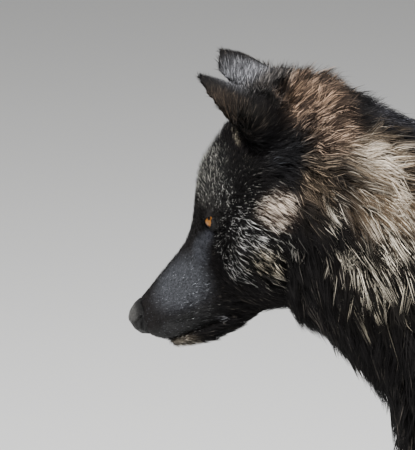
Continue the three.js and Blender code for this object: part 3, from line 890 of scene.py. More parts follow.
# One cell in a few holds a pale speck, the tip of a single light hair.
cells = add_node(flat_fur, "TexVoronoi", {"Vector": own_place.outputs["Object"], "Scale": 800.0})
dot = add_node(
    flat_fur,
    "MapRange",
    {"Value": cells.outputs["Distance"], "From Min": 0.30, "From Max": 0.10},
)
chosen = add_node(
    flat_fur, "MapRange", {"Value": cells.outputs["Color"], "From Min": 0.60, "From Max": 0.85}
)
speck = add_node(
    flat_fur,
    "Math",
    {0: dot.outputs["Result"], 1: chosen.outputs["Result"]},
    operation="MULTIPLY",
)
flat_fur.links.new(speck.outputs[0], fur_out.inputs["Specks"])
print("shared finishes:", uneven_dye.name, flat_fur.name)

# %% [markdown]
# Under the hair the skin takes the ground colour of its markings, a good deal darker: painted shade, so that
# the gaps between the tufts read as depth. On the muzzle, where the hair is as short as velvet, it is what one
# sees, so there it keeps its full colour and is covered with fine pale specks, the tips of single light hairs.

# %% Skin finish


def store_colour(mesh, name, colours):
    """A colour for each point, kept on the mesh for a finish to read."""
    layer = mesh.attributes.new(name, "FLOAT_COLOR", "POINT")
    rgba = np.ones((len(colours), 4), np.float32)
    rgba[:, :3] = colours
    layer.data.foreach_set("color", rgba.ravel())


def store_value(mesh, name, values):
    layer = mesh.attributes.new(name, "FLOAT", "POINT")
    layer.data.foreach_set("value", values.astype(np.float32))


skin_points, skin_faces, _ = read_mesh(skin_mesh)
skin_normals = normals_of(skin_points, skin_faces)
skin_coat = coat_at(skin_points)
skin_coat["depth"] = np.array([coat_outline.find_nearest(point)[3] for point in skin_points])
reach_of_hair = skin_coat["lie"] * skin_coat["length"][:, None] * 0.5
ground, pale, share = marking_at(skin_points + reach_of_hair)
bareness = 1 - smooth_step(skin_coat["length"], 7, 16)
# painted shade: skin under long hair is darkened as the gaps between tufts would lie in shadow
shade = 0.45 + 0.55 * bareness
skin_colour = (ground + (pale - ground) * (share * 0.35 * bareness)[:, None]) * shade[:, None]
rim = rim_measure(to_head(skin_points))
lid_rim = (1 - smooth_step(rim, 1.2, 1.9)) * (near_eye(to_head(skin_points)) < 16)
skin_colour *= (1 - 0.75 * lid_rim)[:, None]
store_colour(skin_mesh, "coat", skin_colour)
from_nose = np.linalg.norm(to_head(skin_points), axis=1)
store_value(skin_mesh, "speckled", bareness * (1 - smooth_step(from_nose, 125, 165)))

skin_finish, tree, shader = new_finish("skin_finish", 0.6, Specular_IOR_Level=0.06)
painted = add_node(tree, "Attribute", attribute_name="coat")
speckled = add_node(tree, "Attribute", attribute_name="speckled")
dye = use_group(tree, uneven_dye, {"Colour": painted.outputs["Color"], "Fineness": 700.0, "Amount": 0.9})
fur_bump = use_group(tree, flat_fur, {"Strength": 0.55, "Depth": 0.0007})
speck_share = add_node(
    tree, "Math", {0: fur_bump.outputs["Specks"], 1: speckled.outputs["Fac"]}, operation="MULTIPLY"
)
specked = mixed_colour(tree, speck_share.outputs[0], dye.outputs["Colour"], (0.115, 0.12, 0.14, 1))
tree.links.new(specked, shader.inputs["Base Color"])
tree.links.new(fur_bump.outputs["Normal"], shader.inputs["Normal"])
skin_mesh.materials.clear()
skin_mesh.materials.append(skin_finish)
print("skin painted")

# %% [markdown]
# The skin is laid out flat once, by its own shape. The skin itself doesn't need that map, but every tuft of
# the coat takes its place from it: a tuft is a speck three thousandths across, where its root is.

# %% Lay the skin out flat


def laid_out(obj):
    """The place of each triangle's corners on an unwrap of the mesh's own shape."""
    bpy.context.view_layer.objects.active = obj
    obj.select_set(True)
    bpy.ops.object.mode_set(mode="EDIT")
    bpy.ops.mesh.select_all(action="SELECT")
    bpy.ops.uv.smart_project(angle_limit=math.radians(70), island_margin=0.001)
    bpy.ops.object.mode_set(mode="OBJECT")
    obj.select_set(False)
    mesh = obj.data
    mesh.uv_layers.active.name = "OFBake"
    flat = np.empty(len(mesh.loops) * 2, np.float32)
    mesh.uv_layers["OFBake"].uv.foreach_get("vector", flat)
    mesh.calc_loop_triangles()
    corners = np.empty(len(mesh.loop_triangles) * 3, np.int32)
    mesh.loop_triangles.foreach_get("loops", corners)
    return flat.reshape(-1, 2)[corners.reshape(-1, 3)]


skin_places = laid_out(skin)
print("laid out:", skin_places.shape)

# %% [markdown]
# The eyes are the only bright thing in the face. Each is a ball with a cornea that stands out a little, under
# a clear wet coat. The iris is amber, with darker fibres that run in to a round pupil and a dark ring where
# it meets the white, of which a wolf shows almost nothing. Place on the iris is kept on the mesh as a vector,
# so that the pattern stays put whatever the view.

# %% Eyes
IRIS_GAZE = math.radians(77)
IRIS_LIFT = math.radians(18)
IRIS_ANGLE = math.radians(54)
CORNEA = 0.9
EYE_RINGS, EYE_SPOKES = 48, 64


def eyeball(side):
    rings, spokes = EYE_RINGS, EYE_SPOKES
    middle, _, _, _ = eye_frame(side)
    gaze = np.array(
        [
            -math.cos(IRIS_GAZE) * math.cos(IRIS_LIFT),
            side * math.sin(IRIS_GAZE) * math.cos(IRIS_LIFT),
            math.sin(IRIS_LIFT),
        ]
    )
    across = unit(np.cross(gaze, [[0, 0, 1.0]]))[0]
    rise = np.cross(across, gaze)
    swing = np.linspace(0, math.pi, rings + 1)[1:-1]
    spin = np.linspace(0, 2 * math.pi, spokes, endpoint=False)
    swing_all, spin_all = (grid.ravel() for grid in np.meshgrid(swing, spin, indexing="ij"))
    swing_all = np.concatenate([[0], swing_all, [math.pi]])
    spin_all = np.concatenate([[0], spin_all, [0]])
    radius = EYE_RADIUS + CORNEA * (1 - smooth_step(swing_all, math.radians(8), IRIS_ANGLE * 1.05))
    around = np.cos(spin_all)[:, None] * across + np.sin(spin_all)[:, None] * rise
    points = middle + radius[:, None] * (
        np.cos(swing_all)[:, None] * gaze + np.sin(swing_all)[:, None] * around
    )

    def at(i, j):
        return 1 + i * spokes + j % spokes

    last = len(points) - 1
    faces = [(0, at(0, j), at(0, j + 1)) for j in range(spokes)]
    faces += [
        (at(i, j), at(i + 1, j), at(i + 1, j + 1), at(i, j + 1))
        for i in range(rings - 2)
        for j in range(spokes)
    ]
    faces += [(last, at(rings - 2, j + 1), at(rings - 2, j)) for j in range(spokes)]
    mesh = bpy.data.meshes.new("eye")
    mesh.from_pydata((from_head(points) * MM).tolist(), [], faces)
    place = np.stack([np.cos(spin_all), np.sin(spin_all), swing_all / IRIS_ANGLE], 1)
    place[:, :2] *= place[:, 2:]
    layer = mesh.attributes.new("on_iris", "FLOAT_VECTOR", "POINT")
    layer.data.foreach_set("vector", place.astype(np.float32).ravel())
    return mesh


def outward(mesh):
    """Turns every face outwards and smooths the shading."""
    with opened(mesh) as form:
        bmesh.ops.recalc_face_normals(form, faces=form.faces)
    shade_smooth(mesh)
    return mesh


def add_piece(name, mesh, finish):
    piece = put_in_scene(name, mesh)
    mesh.materials.append(finish)
    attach(piece, "root")
    return piece


eye_finish, tree, shader = new_finish(
    "eye_finish", 0.3, Coat_Weight=0.12, Coat_Roughness=0.03, Specular_IOR_Level=0.15
)
on_iris = add_node(tree, "Attribute", attribute_name="on_iris")
parts_of = add_node(tree, "SeparateXYZ", {"Vector": on_iris.outputs["Vector"]})
fibre_lines = add_node(
    tree,
    "TexNoise",
    {"Vector": on_iris.outputs["Vector"], "Scale": 9.0, "Detail": 4.0, "Distortion": 0.4},
)
wobble = add_node(
    tree,
    "Math",
    {0: fibre_lines.outputs["Fac"], 1: 0.16, 2: parts_of.outputs["Z"]},
    operation="MULTIPLY_ADD",
)
RINGS_OF_EYE = [
    (0.21, (0.003, 0.003, 0.003)),  # pupil
    (0.26, (0.13, 0.045, 0.003)),
    (0.66, (0.20, 0.078, 0.006)),  # amber
    (0.90, (0.12, 0.038, 0.003)),
    (1.0, (0.03, 0.015, 0.008)),  # dark ring at its edge
]
tree.links.new(ramp_colour(tree, wobble.outputs[0], RINGS_OF_EYE), shader.inputs["Base Color"])

for name, side in (("left", -1), ("right", 1)):
    eye = add_piece(f"eyeball_{name}", outward(eyeball(side)), eye_finish)
    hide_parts(f"eye_{name}")
print("eyes set")

# %% [markdown]
# The nose pad is bare leather: a blunt block, pebbled like a football, with a nostril on each side that opens
# forwards and curls back into a slit, and a furrow down its middle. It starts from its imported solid, remeshed
# finely, and the openings are pressed in along short lines.

# %% Nose
NOSTRIL = [
    *((3, 8.5, -7), (9, 14, -8), (14, 18.3, -5.5), (18.6, 18.6, -4)),
    *((17, 18.5, -10), (13.6, 17.6, -15), (12, 16.6, -19)),  # the slit behind the opening
]
NOSE_FLARE = 0.2  # the pad widens to meet the muzzle flush
NOSE_VOXEL = 0.75
# painted shade: the leather colour on the lower part of the pad and on its downward faces
UNDERSIDE_SHADE_LEATHER = (0.007, 0.0067, 0.0067, 1)
FURROW = [(0.5, 0, -5), (2, 0, -12), (6, 0, -19), (12, 0, -24)]


def nose_form():
    mesh = remeshed(welded("nose"), NOSE_VOXEL)
    points, faces, edges = read_mesh(mesh)
    points = relaxed(points, edges, 45)
    outwards = normals_of(points, faces)
    for _ in range(10):
        outwards = unit(neighbour_mean(outwards, edges))
    at = to_head(points)
    one_side = folded(at)
    hole = distance_to_path(one_side, NOSTRIL)
    mouth_of_hole = np.linalg.norm(one_side - (5, 9.5, -7.5), axis=1)
    push = -4.5 * np.exp(-((hole / 1.7) ** 2)) - 4.0 * np.exp(-((mouth_of_hole / 3.2) ** 2))
    push -= 1.3 * np.exp(-(distance_to_path(one_side, FURROW) ** 2))
    push += 0.9 * nearness(one_side, (14, 15, -1), (7, 4, 5))
    push += NOSE_FLARE * smooth_step(at[:, 0], 9, 22)
    points = relaxed(points + outwards * push[:, None], edges, 2)
    write_points(mesh, points)
    # painted light: the pad is lighter on top and on faces turned upwards, where the light from above falls
    painted_top_light = smooth_step(at[:, 2] + 3 * outwards[:, 2], -9, 5) * (1 - smooth_step(at[:, 0], 10, 20))
    store_value(mesh, "painted_top_light", painted_top_light)
    return mesh


leather_grain, grain_in, grain_out = new_group(
    "leather_grain",
    [("Pebbles", "Float", 620.0), ("Strength", "Float", 0.5)],
    [("Normal", "Vector", None), ("Furrows", "Float", None)],
)
own_place = add_node(leather_grain, "TexCoord")
pebbles = add_node(
    leather_grain,
    "TexVoronoi",
    {"Vector": own_place.outputs["Object"], "Scale": grain_in.outputs["Pebbles"]},
    feature="DISTANCE_TO_EDGE",
)
pebble_height = add_node(
    leather_grain, "MapRange", {"Value": pebbles.outputs["Distance"], "From Max": 0.28}
)
grain_bump = add_node(
    leather_grain,
    "Bump",
    {
        "Height": pebble_height.outputs["Result"],
        "Strength": grain_in.outputs["Strength"],
        "Distance": 0.0006,
    },
)
leather_grain.links.new(grain_bump.outputs["Normal"], grain_out.inputs["Normal"])
leather_grain.links.new(pebble_height.outputs["Result"], grain_out.inputs["Furrows"])


def leather_finish(name, colour, furrow_colour, roughness, pebbles_per_metre):
    finish, tree, shader = new_finish(name, roughness, Specular_IOR_Level=0.18)
    grain = use_group(tree, leather_grain, {"Pebbles": pebbles_per_metre, "Strength": 0.9})
    tone = mixed_colour(tree, grain.outputs["Furrows"], furrow_colour, colour)
    # painted light and shade: full leather colour where the pad faces up, painted dark below
    painted_top_light = add_node(tree, "Attribute", attribute_name="painted_top_light")
    tone = mixed_colour(tree, painted_top_light.outputs["Fac"], UNDERSIDE_SHADE_LEATHER, tone)
    dye = use_group(tree, uneven_dye, {"Colour": tone, "Fineness": 160.0, "Amount": 0.6})
    tree.links.new(dye.outputs["Colour"], shader.inputs["Base Color"])
    tree.links.new(grain.outputs["Normal"], shader.inputs["Normal"])
    return finish


nose_finish = leather_finish("nose_finish", (0.125, 0.122, 0.116, 1), (0.022, 0.021, 0.020, 1), 0.5, 800)
nose = add_piece("nose_pad", outward(nose_form()), nose_finish)
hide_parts("nose")
print("nose:", len(nose.data.vertices), "points")


# %% [markdown]
# Now the coat. A tuft is a closed three-sided spike, one for a few dozen hairs: it rises steeply from its
# root, bends over along the lie of the coat and ends in a point. Short tufts are a single spike of four
# triangles, longer ones have one or two rings between root and tip. Neighbours lean towards a shared tip, and
# that is what makes locks. Arrays place them all at once, because each tuft has its own length, bend, colour
# and place on the unwrap, which would be as many fields to carry through a node tree.

# %% Where tufts grow
random = np.random.default_rng(SEED)


def no_hair(points):
    """True on the eyes, their rims, the nose pad and the soles."""
    at = to_head(points)
    eyes = (near_eye(at) < 17) & (rim_measure(at) < 1.5)
    beside_pad = (at[:, 0] < 24) & (np.abs(at[:, 1]) < 17) & (at[:, 2] < 4) & (at[:, 2] > -25)
    nose_pad = (at[:, 0] < 17) | beside_pad
    nose_pad &= np.linalg.norm(at, axis=1) < 60  # or the forefeet, below the muzzle, would count
    return eyes | nose_pad | (points[:, 2] < 4)


def sample_roots():
    """Roots spread over the whole skin, as many to each patch as the coat's table asks."""
    area = np.linalg.norm(crossed(skin_points, skin_faces), axis=1) / 2
    wanted = area * (skin_coat["dense"][skin_faces].mean(1) / 100)
    count = int(wanted.sum())
    face = random.choice(len(skin_faces), count, p=wanted / wanted.sum())
    u, v = random.random((2, count))
    over = u + v > 1
    u, v = np.where(over, 1 - u, u), np.where(over, 1 - v, v)
    share = np.stack([1 - u - v, u, v], 1)
    corners = skin_faces[face]

    def blend(values):
        return (values[corners] * share[:, :, None]).sum(1)

    points = blend(skin_points)
    keep = ~no_hair(points)
    measures = np.stack([skin_coat[key] for key in MEASURES], 1)
    found = {
        "root": points,
        "normal": unit(blend(skin_normals)),
        "lie": unit(blend(skin_coat["lie"])),
        **dict(zip(MEASURES, blend(measures).T)),
        "place": (skin_places[face] * share[:, :, None]).sum(1),
        "piece": skin_coat["piece"][corners[:, 0]],
    }
    return {key: value[keep] for key, value in found.items()}


tufts = sample_roots()
names, counts = np.unique(tufts["piece"], return_counts=True)
print("tufts:", len(tufts["root"]), {PIECES[n]: int(c) for n, c in zip(names, counts)})

# %% [markdown]
# A tuft's middle line is worked out once for the tuft and once for the leader of its lock, the nearest of the
# few tufts chosen to lead. Blending the two, more and more towards the tip, draws the lock together. Gravity
# adds a droop to long hair, and a slow wave keeps locks from looking combed.

# %% The line a tuft follows
# How far neighbouring tufts differ in direction, in degrees.
SPREAD = {"nape": 24, "mane": 16, "fringe": 13, "cheek": 15, "forehead": 14}
SPREAD |= {"throat": 13, "face": 8, "ear": 17}
USUAL_SPREAD = 12
# How far the coat stands up, beside the depth left for it.
FULLNESS = {"foreleg": 0.7, "hindleg": 0.7, "back": 0.75, "flank": 0.78}
FULLNESS |= {"throat": 1.15, "nape": 0.78, "ear": 0.92, "forehead": 0.98}
USUAL_FULLNESS = 0.88
# The least that hair stands up where the skin lies close under the outline, in millimetres.
LEAST_DEPTH = {"foreleg": 1.6, "hindleg": 1.6}
# Share of thin dark guard hairs that stand clear of the coat.
GUARD_HAIRS = {"nape": 0.06, "mane": 0.02, "forehead": 0.02, "throat": 0.03, "back": 0.03, "flank": 0.02}
WHISKER_PAD = (46, 26, -19)  # in the head's frame
WHISKER_REACH = (18, 9, 11)
WHISKER_SHARE = 0.10
# Where the coat is fluffed up: place in the head's frame, reach, added depth and length, share of tufts.
FLUFF = [
    ((194, 14, 118), (24, 26, 12), 6, 5, 1.0),  # crown
    ((214, 22, 122), (16, 30, 12), 8, 8, 1.0),
    ((226, 82, 130), (12, 12, 14), 7, 9, 1.0),  # front of the ear's root
    ((238, 76, 112), (14, 14, 12), 6, 8, 1.0),
    ((219, 80, 138), (9, 14, 14), 6, 7, 1.0),
    ((204, 43, 178), (9, 11, 16), 3, 4, 1.0),  # front edge of an ear
    ((245, 32, 136), (16, 16, 12), 8, 10, 1.0),  # between the ears
    ((261, 30, 129), (14, 16, 13), 9, 11, 1.0),
    ((264, 24, 126), (14, 20, 12), 4, 6, 1.0),
    ((290, 10, 128), (30, 22, 16), 22, 28, 0.16),  # crest of the nape
    ((172, 22, 92), (34, 30, 32), 5, 4, 0.35),  # fuzz of the brow
    ((138, 8, -57), (26, 18, 10), 6, 8, 1.0),  # under the jaw
    ((50, 6, -51), (20, 10, 6), 1.6, 2, 1.0),
]
DROOP = 0.10
WAVE = 0.06
LOCK_PULL = {"cheek": 0.55, "nape": 0.5, "forehead": 0.3, "mane": 0.7, "fringe": 0.8}
USUAL_PULL = 0.76


def by_piece(tufts, table, usual):
    """For each tuft the table's value for its piece, or the usual one."""
    return np.array([table.get(label, usual) for label in PIECES])[tufts["piece"]]


def set_out(tufts):
    """Adds each tuft's own forward and sideways direction, length and depth."""
    count = len(tufts["root"])
    normal, lie = tufts["normal"], tufts["lie"]
    flat = unit(lie - (lie * normal).sum(1, keepdims=True) * normal)
    side = np.cross(flat, normal)
    degrees = by_piece(tufts, SPREAD, USUAL_SPREAD) * (0.6 + 0.4 * smooth_step(tufts["length"], 10, 30))
    stray = random.normal(0, np.radians(degrees))[:, None]
    tufts["ahead"] = flat * np.cos(stray) + side * np.sin(stray)
    tufts["side"] = np.cross(tufts["ahead"], normal)
    tufts["length"] = tufts["length"] * np.clip(random.normal(1, 0.17, count), 0.55, 1.5)
    fill = by_piece(tufts, FULLNESS, USUAL_FULLNESS) * np.clip(random.normal(1, 0.22, count), 0.3, 1.3)
    guard = random.random(count) < by_piece(tufts, GUARD_HAIRS, 0.0)
    one_side = folded(to_head(tufts["root"]))
    from_pad = (one_side - WHISKER_PAD) / WHISKER_REACH
    whisker = ((from_pad**2).sum(1) < 1) & (random.random(count) < WHISKER_SHARE)
    tufts["guard"] = guard | whisker
    tufts["depth"] = tufts["depth"] * np.where(guard, 1.35, fill)
    tufts["depth"] = np.maximum(tufts["depth"], by_piece(tufts, LEAST_DEPTH, 0.0))
    tufts["length"] = tufts["length"] * np.where(guard, 1.25, 1)
    tufts["width"] = tufts["width"] * np.where(guard, 0.6, 1)
    tufts["length"] = np.where(whisker, random.uniform(24, 48, count), tufts["length"])
    tufts["depth"] = np.where(whisker, 0.42 * tufts["length"], tufts["depth"])
    tufts["width"] = np.where(whisker, 0.34, tufts["width"])
    for place, reach, depth, length, share in FLUFF:
        cover = nearness(one_side, place, reach) * (random.random(count) < share)
        tufts["depth"] = tufts["depth"] + depth * cover
        tufts["length"] = tufts["length"] + length * cover
    tufts["depth"] = np.minimum(tufts["depth"], 0.9 * tufts["length"])
    tufts["phase"] = random.uniform(0, 2 * math.pi, count)
    return tufts


def line_at(tufts, t, rows=None):
    """Points at share t of the way along the tufts."""
    pick = (lambda key: tufts[key]) if rows is None else (lambda key: tufts[key][rows])
    length, depth = pick("length")[:, None], pick("depth")[:, None]
    along = np.sqrt(np.maximum(length**2 - depth**2, 0.1))
    rise = depth * (1 - (1 - t) ** 1.8) - 0.8 * (1 - t)
    bend = WAVE * length * smooth_step(length, 12, 36)
    wave = bend * np.sin(pick("phase")[:, None] + 4.5 * t) * t
    droop = DROOP * length * t * t * smooth_step(length, 20, 60)
    return (
        pick("root")
        + pick("ahead") * along * t
        + pick("normal") * rise
        + pick("side") * wave
        - droop * np.array([0, 0, 1.0])
    )


def choose_leaders(tufts):
    """For each tuft the row of its lock's leader, and how strongly the lock draws it in."""
    lock = tufts["lock"]
    has_lock = lock > 2.5
    rows = np.arange(len(lock))
    area_each = 100 / np.maximum(tufts["dense"], 0.1)
    chance = np.where(has_lock, area_each / np.maximum(lock, 1) ** 2, 0)
    leaders = rows[random.random(len(lock)) < chance]
    tree = kdtree.KDTree(len(leaders))
    for row in leaders:
        tree.insert(tufts["root"][row], int(row))
    tree.balance()
    nearest = rows.copy()
    for row in rows[has_lock]:
        nearest[row] = tree.find(tufts["root"][row])[1]
    return nearest, np.where(has_lock, by_piece(tufts, LOCK_PULL, USUAL_PULL), 0.0)


tufts = set_out(tufts)
leader, pull = choose_leaders(tufts)
print("locks:", len(np.unique(leader[pull > 0])))

# %% [markdown]
# Colour goes along the tuft. Each has a dark base, so the coat has depth, and takes either the ground colour
# of its place or, by chance in the share that the markings state, the pale tip. Where neighbours disagree the
# eye sees salt and pepper, which is how a real agouti coat works too.

# %% Colours along a tuft
BASE_SHADE = 0.30
GUARD_SHADE = 0.5
FLECK_LENGTH = 17  # a pale tuft shorter than this is pale at its very tip only
TIP_LIGHT = 1.25
LOCKS_AGREE = (0.55, 0.35)  # share of a lock as pale or dark as its leader, low on the neck and high up


def dye_tufts(tufts):
    spot = tufts["root"] + tufts["ahead"] * (tufts["length"] * 0.6)[:, None]
    ground, pale, share = marking_at(spot)
    count = len(share)
    chance = random.random(count)
    low, high = LOCKS_AGREE
    on_neck = smooth_step(spot[:, 0], -460, -430) * (1 - smooth_step(spot[:, 0], -340, -300))
    agree = high + (low - high) * (1 - smooth_step(spot[:, 2], 690, 735)) * on_neck
    with_lock = (pull > 0) & (random.random(count) < agree)
    chance = np.where(with_lock, chance[leader], chance)
    is_pale = (chance < share) & ~tufts["guard"]
    fleck = is_pale & (tufts["length"] < FLECK_LENGTH) & (tufts["piece"] != PIECES.index("ear"))
    tufts["length"] = np.where(fleck, tufts["length"] * 0.8, tufts["length"])
    tufts["rings"] = np.where(fleck, 2, 1 + (tufts["length"] > 15) + (tufts["length"] > 58))
    tufts["onset"] = np.where(fleck, 3.2, 1.15)
    tufts["depth"] = np.minimum(tufts["depth"], 0.9 * tufts["length"])
    is_pale = is_pale[:, None]
    strength = (random.uniform(0.4, 1.05, count) + 0.2 * fleck)[:, None]
    uneven = np.where(tufts["length"] < 13, 0.42, 0.34)
    tone = np.clip(random.normal(1, uneven), 0.3, 2.0)
    tone = (tone * np.clip(random.normal(1, 0.30, count), 0.35, 1.7)[leader])[:, None]
    tip = np.where(is_pale, ground + (pale - ground) * strength, ground * TIP_LIGHT)
    through = np.where(is_pale[:, 0], smooth_step(tufts["length"], 16, 30) * 0.58, 0)[:, None]
    tufts["base_colour"] = (ground * BASE_SHADE * (1 - through) + tip * through) * tone
    tufts["tip_colour"] = np.where(tufts["guard"][:, None], ground * GUARD_SHADE, tip) * tone
    return tufts


tufts = dye_tufts(tufts)
print("flecks:", int((tufts["onset"] > 2).sum()))

# %% [markdown]
# Last, the spikes themselves. A ring is three points around the middle line, flattened against the body, and
# the tip is a single point. All tufts with the same number of rings are made in one go. The normals lean
# towards the skin's own, so a coat takes light as one soft surface and not as a heap of needles.

# %% Tufts as solid mesh
RING_SHARES = {1: [0.0], 2: [0.0, 0.5], 3: [0.0, 0.34, 0.68]}
RING_WIDTHS = {1: [1.0], 2: [0.8, 0.85], 3: [0.75, 1.0, 0.62]}
CORNERS = [(-0.5, -0.16), (0.5, -0.16), (0.0, 0.34)]
SOFTNESS = 0.65
FLOOR_GAP = 0.4
PATCH = 0.003  # how wide a tuft's patch is on the unwrap


def spike_faces(rings):
    faces = [(0, 1, 2)]
    for ring in range(rings - 1):
        for k in range(3):
            a, b = 3 * ring + k, 3 * ring + (k + 1) % 3
            faces += [(a, b + 3, b), (a, a + 3, b + 3)]
    low, tip = 3 * (rings - 1), 3 * rings
    faces += [(low + k, tip, low + (k + 1) % 3) for k in range(3)]
    return np.array(faces)


def spikes(tufts, rows, rings):
    """Points, faces, normals, colours and unwrap places of the tufts in these rows."""
    lead, draw = leader[rows], pull[rows][:, None]

    def middle(t):
        own = line_at(tufts, t, rows)
        led = line_at(tufts, t, lead) + (tufts["root"][rows] - tufts["root"][lead]) * 0.12
        share = draw * t**1.2
        return own * (1 - share) + led * share

    shares = RING_SHARES[rings] + [1.0]
    middles = [middle(t) for t in shares]
    normal = tufts["normal"][rows]
    width = tufts["width"][rows][:, None]
    roll = random.uniform(-0.5, 0.5, len(rows))[:, None]
    points, soft = [], []
    for k, t in enumerate(shares[:-1]):
        forward = unit(middles[k + 1] - middles[k])
        side = unit(np.cross(forward, normal))
        out = np.cross(side, forward)
        side, out = side * np.cos(roll) + out * np.sin(roll), out * np.cos(roll) - side * np.sin(roll)
        for across, lift in CORNERS:
            offset = (side * across + out * lift) * width * RING_WIDTHS[rings][k]
            points.append(middles[k] + offset)
            soft.append(unit(normal * SOFTNESS + unit(offset) * (1 - SOFTNESS)))
    points.append(middles[-1])
    soft.append(unit(normal * SOFTNESS + unit(middles[-1] - middles[-2]) * (1 - SOFTNESS) * 0.5))
    points, soft = np.stack(points, 1), np.stack(soft, 1)
    points[:, :, 2] = np.maximum(points[:, :, 2], FLOOR_GAP)
    at_t = np.repeat(shares[:-1], 3).tolist() + [1.0]
    mix = (np.array(at_t) ** tufts["onset"][rows][:, None])[:, :, None]
    colours = tufts["base_colour"][rows][:, None] * (1 - mix) + tufts["tip_colour"][rows][:, None] * mix
    colours /= np.maximum(colours.max(-1, keepdims=True), 1.0)
    patch = np.array([[(k % 3 - 1) * 0.5, t - 0.5] for k, t in enumerate(at_t)]) * PATCH
    places = tufts["place"][rows][:, None] + patch
    per = 3 * rings + 1
    faces = spike_faces(rings)[None] + (np.arange(len(rows)) * per)[:, None, None]
    return [array.reshape(-1, array.shape[-1]) for array in (points, faces, soft, colours, places)]


def coat_mesh(name, tufts, rows):
    """One mesh of all these tufts, each with as many rings as its length needs."""
    rings = tufts["rings"][rows]
    made, start = [], 0
    for count in (1, 2, 3):
        chosen = rows[rings == count]
        if len(chosen):
            points, faces, soft, colours, places = spikes(tufts, chosen, count)
            made.append((points, faces + start, soft, colours, places))
            start += len(points)
    points, faces, soft, colours, places = (np.concatenate(part) for part in zip(*made))
    mesh = bpy.data.meshes.new(name)
    mesh.vertices.add(len(points))
    mesh.vertices.foreach_set("co", (points * MM).astype(np.float32).ravel())
    mesh.loops.add(faces.size)
    mesh.loops.foreach_set("vertex_index", faces.astype(np.int32).ravel())
    mesh.polygons.add(len(faces))
    mesh.polygons.foreach_set("loop_start", np.arange(0, faces.size, 3, dtype=np.int32))
    shade_smooth(mesh)
    mesh.update(calc_edges=True)
    layer = mesh.uv_layers.new(name="OFBake")
    layer.uv.foreach_set("vector", places[faces.ravel()].astype(np.float32).ravel())
    store_colour(mesh, "coat", colours)
    mesh.normals_split_custom_set_from_vertices(soft.tolist())
    return mesh


# %% [markdown]
# Hair shines along its length but never like leather, so the finish is nearly matt: a coat with gloss would
# look wet. The dye group keeps the tufts from being uniform.

# %% Coat finish and coat pieces
coat_finish, tree, shader = new_finish("coat_finish", 0.6, Specular_IOR_Level=0.05)
painted = add_node(tree, "Attribute", attribute_name="coat")
dye = use_group(tree, uneven_dye, {"Colour": painted.outputs["Color"], "Fineness": 260.0, "Amount": 0.4})
tree.links.new(dye.outputs["Colour"], shader.inputs["Base Color"])

MOST_TRIANGLES = 190_000
total = 0
for index, label in enumerate(PIECES):
    rows = np.flatnonzero(tufts["piece"] == index)
    if not len(rows):
        continue
    triangles = 6 * tufts["rings"][rows] - 2
    parts = int(triangles.sum() // MOST_TRIANGLES) + 1
    order = np.argsort(tufts["root"][rows][:, 1 if parts == 2 else 0], kind="stable")
    for number, share_of_rows in enumerate(np.array_split(rows[order], parts)):
        name = f"coat_{label}_{number + 1}" if parts > 1 else f"coat_{label}"
        mesh = coat_mesh(name, tufts, np.sort(share_of_rows))
        add_piece(name, mesh, coat_finish)
        total += len(mesh.polygons)
        print(name, len(share_of_rows), "tufts", len(mesh.polygons), "triangles")
print("coat:", total, "triangles")

# %% [markdown]
# Claws. Each is a blunt, slightly hooked cone out of the end of its toe, ground flat by walking below and
# narrower from side to side than from above. They are a piece of their own, rings of points swept along a
# bent line, because claw is horn: smoother and glossier than anything around it.

# %% Claws
TOES = [(27, -33, 9), (43, -12.5, 3), (43, 12.5, -3), (27, 33, -9)]  # ahead, out, turn in degrees
CLAW_LENGTH = 25
CLAW_THICK = 4.1
CLAW_NARROW = 0.72  # width from side to side, beside the height above its middle
CLAW_FLAT = 0.55  # height below its middle, beside the height above it
CLAW_DIP = 24  # degrees down from level
CLAW_HOOK = 32  # degrees further down by the tip
CLAW_ROOT = (-15, 0, 15.5)  # from the floor under the toe's root


def claw_points(rings=9, around=10):
    """A claw along -x from the origin: rings of points, then the tip."""
    points = []
    spot = np.array([6.0, 0.0, 1.5])
    for ring in range(rings):
        t = ring / rings
        dip = math.radians(CLAW_DIP + CLAW_HOOK * t)
        ahead = np.array([-math.cos(dip), 0, -math.sin(dip)])
        up = np.array([-math.sin(dip), 0, math.cos(dip)])
        thick = CLAW_THICK * (1 - t**2.6) ** 0.6
        for k in range(around):
            turn = 2 * math.pi * k / around
            flat = CLAW_FLAT if math.sin(turn) < 0 else 1.0
            across = CLAW_NARROW * math.cos(turn) * np.array([0, 1.0, 0])
            points.append(spot + thick * (across + flat * math.sin(turn) * up))
        spot = spot + ahead * CLAW_LENGTH / rings
    points.append(spot - ahead * 0.6)
    return np.array(points)


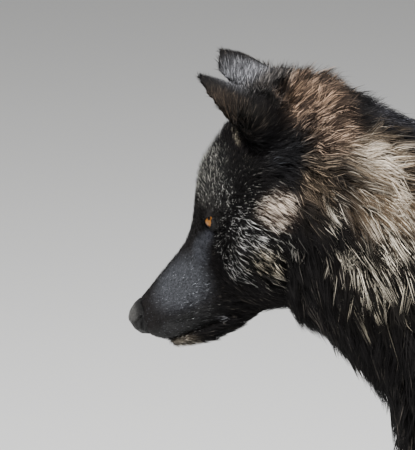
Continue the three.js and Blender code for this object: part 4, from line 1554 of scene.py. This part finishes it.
def claw_faces(rings=9, around=10):
    faces = [(0, around - 1 - k, around - 2 - k) for k in range(around - 2)]
    for ring in range(rings - 1):
        for k in range(around):
            a, b = ring * around + k, ring * around + (k + 1) % around
            faces += [(a, b, b + around), (a, b + around, a + around)]
    low, tip = (rings - 1) * around, rings * around
    faces += [(low + k, low + (k + 1) % around, tip) for k in range(around)]
    return np.array(faces)


# Where each foot stands, along and across, and its size beside a forefoot.
FEET = [(-310.3, -75, 1.0), (-266.3, 75, 1.0), (483.7, -73, 0.9), (431.7, 73, 0.9)]


def claws_mesh():
    """All the claws, turned with their toes."""
    points, faces = [], []
    one, one_faces = claw_points(), claw_faces()
    for foot_x, foot_y, size in FEET:
        for ahead, out, turn in TOES:
            angle = math.radians(turn)
            turned = np.array(
                [[math.cos(angle), -math.sin(angle), 0], [math.sin(angle), math.cos(angle), 0], [0, 0, 1]]
            )
            toe = np.array([foot_x - ahead * size, foot_y + out * size, 0])
            faces.append(one_faces + len(points) * len(one))
            points.append((one + CLAW_ROOT) * size @ turned.T + toe)
    mesh = bpy.data.meshes.new("claws")
    mesh.from_pydata((np.concatenate(points) * MM).tolist(), [], np.concatenate(faces).tolist())
    return mesh


horn_finish, tree, shader = new_finish("horn_finish", 0.5, Specular_IOR_Level=0.2)
own_place = add_node(tree, "TexCoord")
stretched = add_node(
    tree,
    "VectorMath",
    {0: own_place.outputs["Object"], 1: (30.0, 1.0, 6.0)},
    operation="MULTIPLY",
)
layers = add_node(
    tree, "TexNoise", {"Vector": stretched.outputs["Vector"], "Scale": 9.0, "Detail": 4.0}
)
horn_tone = ramp_colour(
    tree, layers.outputs["Fac"], [(0.0, (0.005, 0.0046, 0.0042)), (1.0, (0.024, 0.020, 0.016))]
)
tree.links.new(horn_tone, shader.inputs["Base Color"])
horn_bump = add_node(
    tree, "Bump", {"Height": layers.outputs["Fac"], "Strength": 0.4, "Distance": 0.0006}
)
tree.links.new(horn_bump.outputs["Normal"], shader.inputs["Normal"])

claws = add_piece("claws", outward(claws_mesh()), horn_finish)
print("claws:", len(claws.data.polygons), "faces")
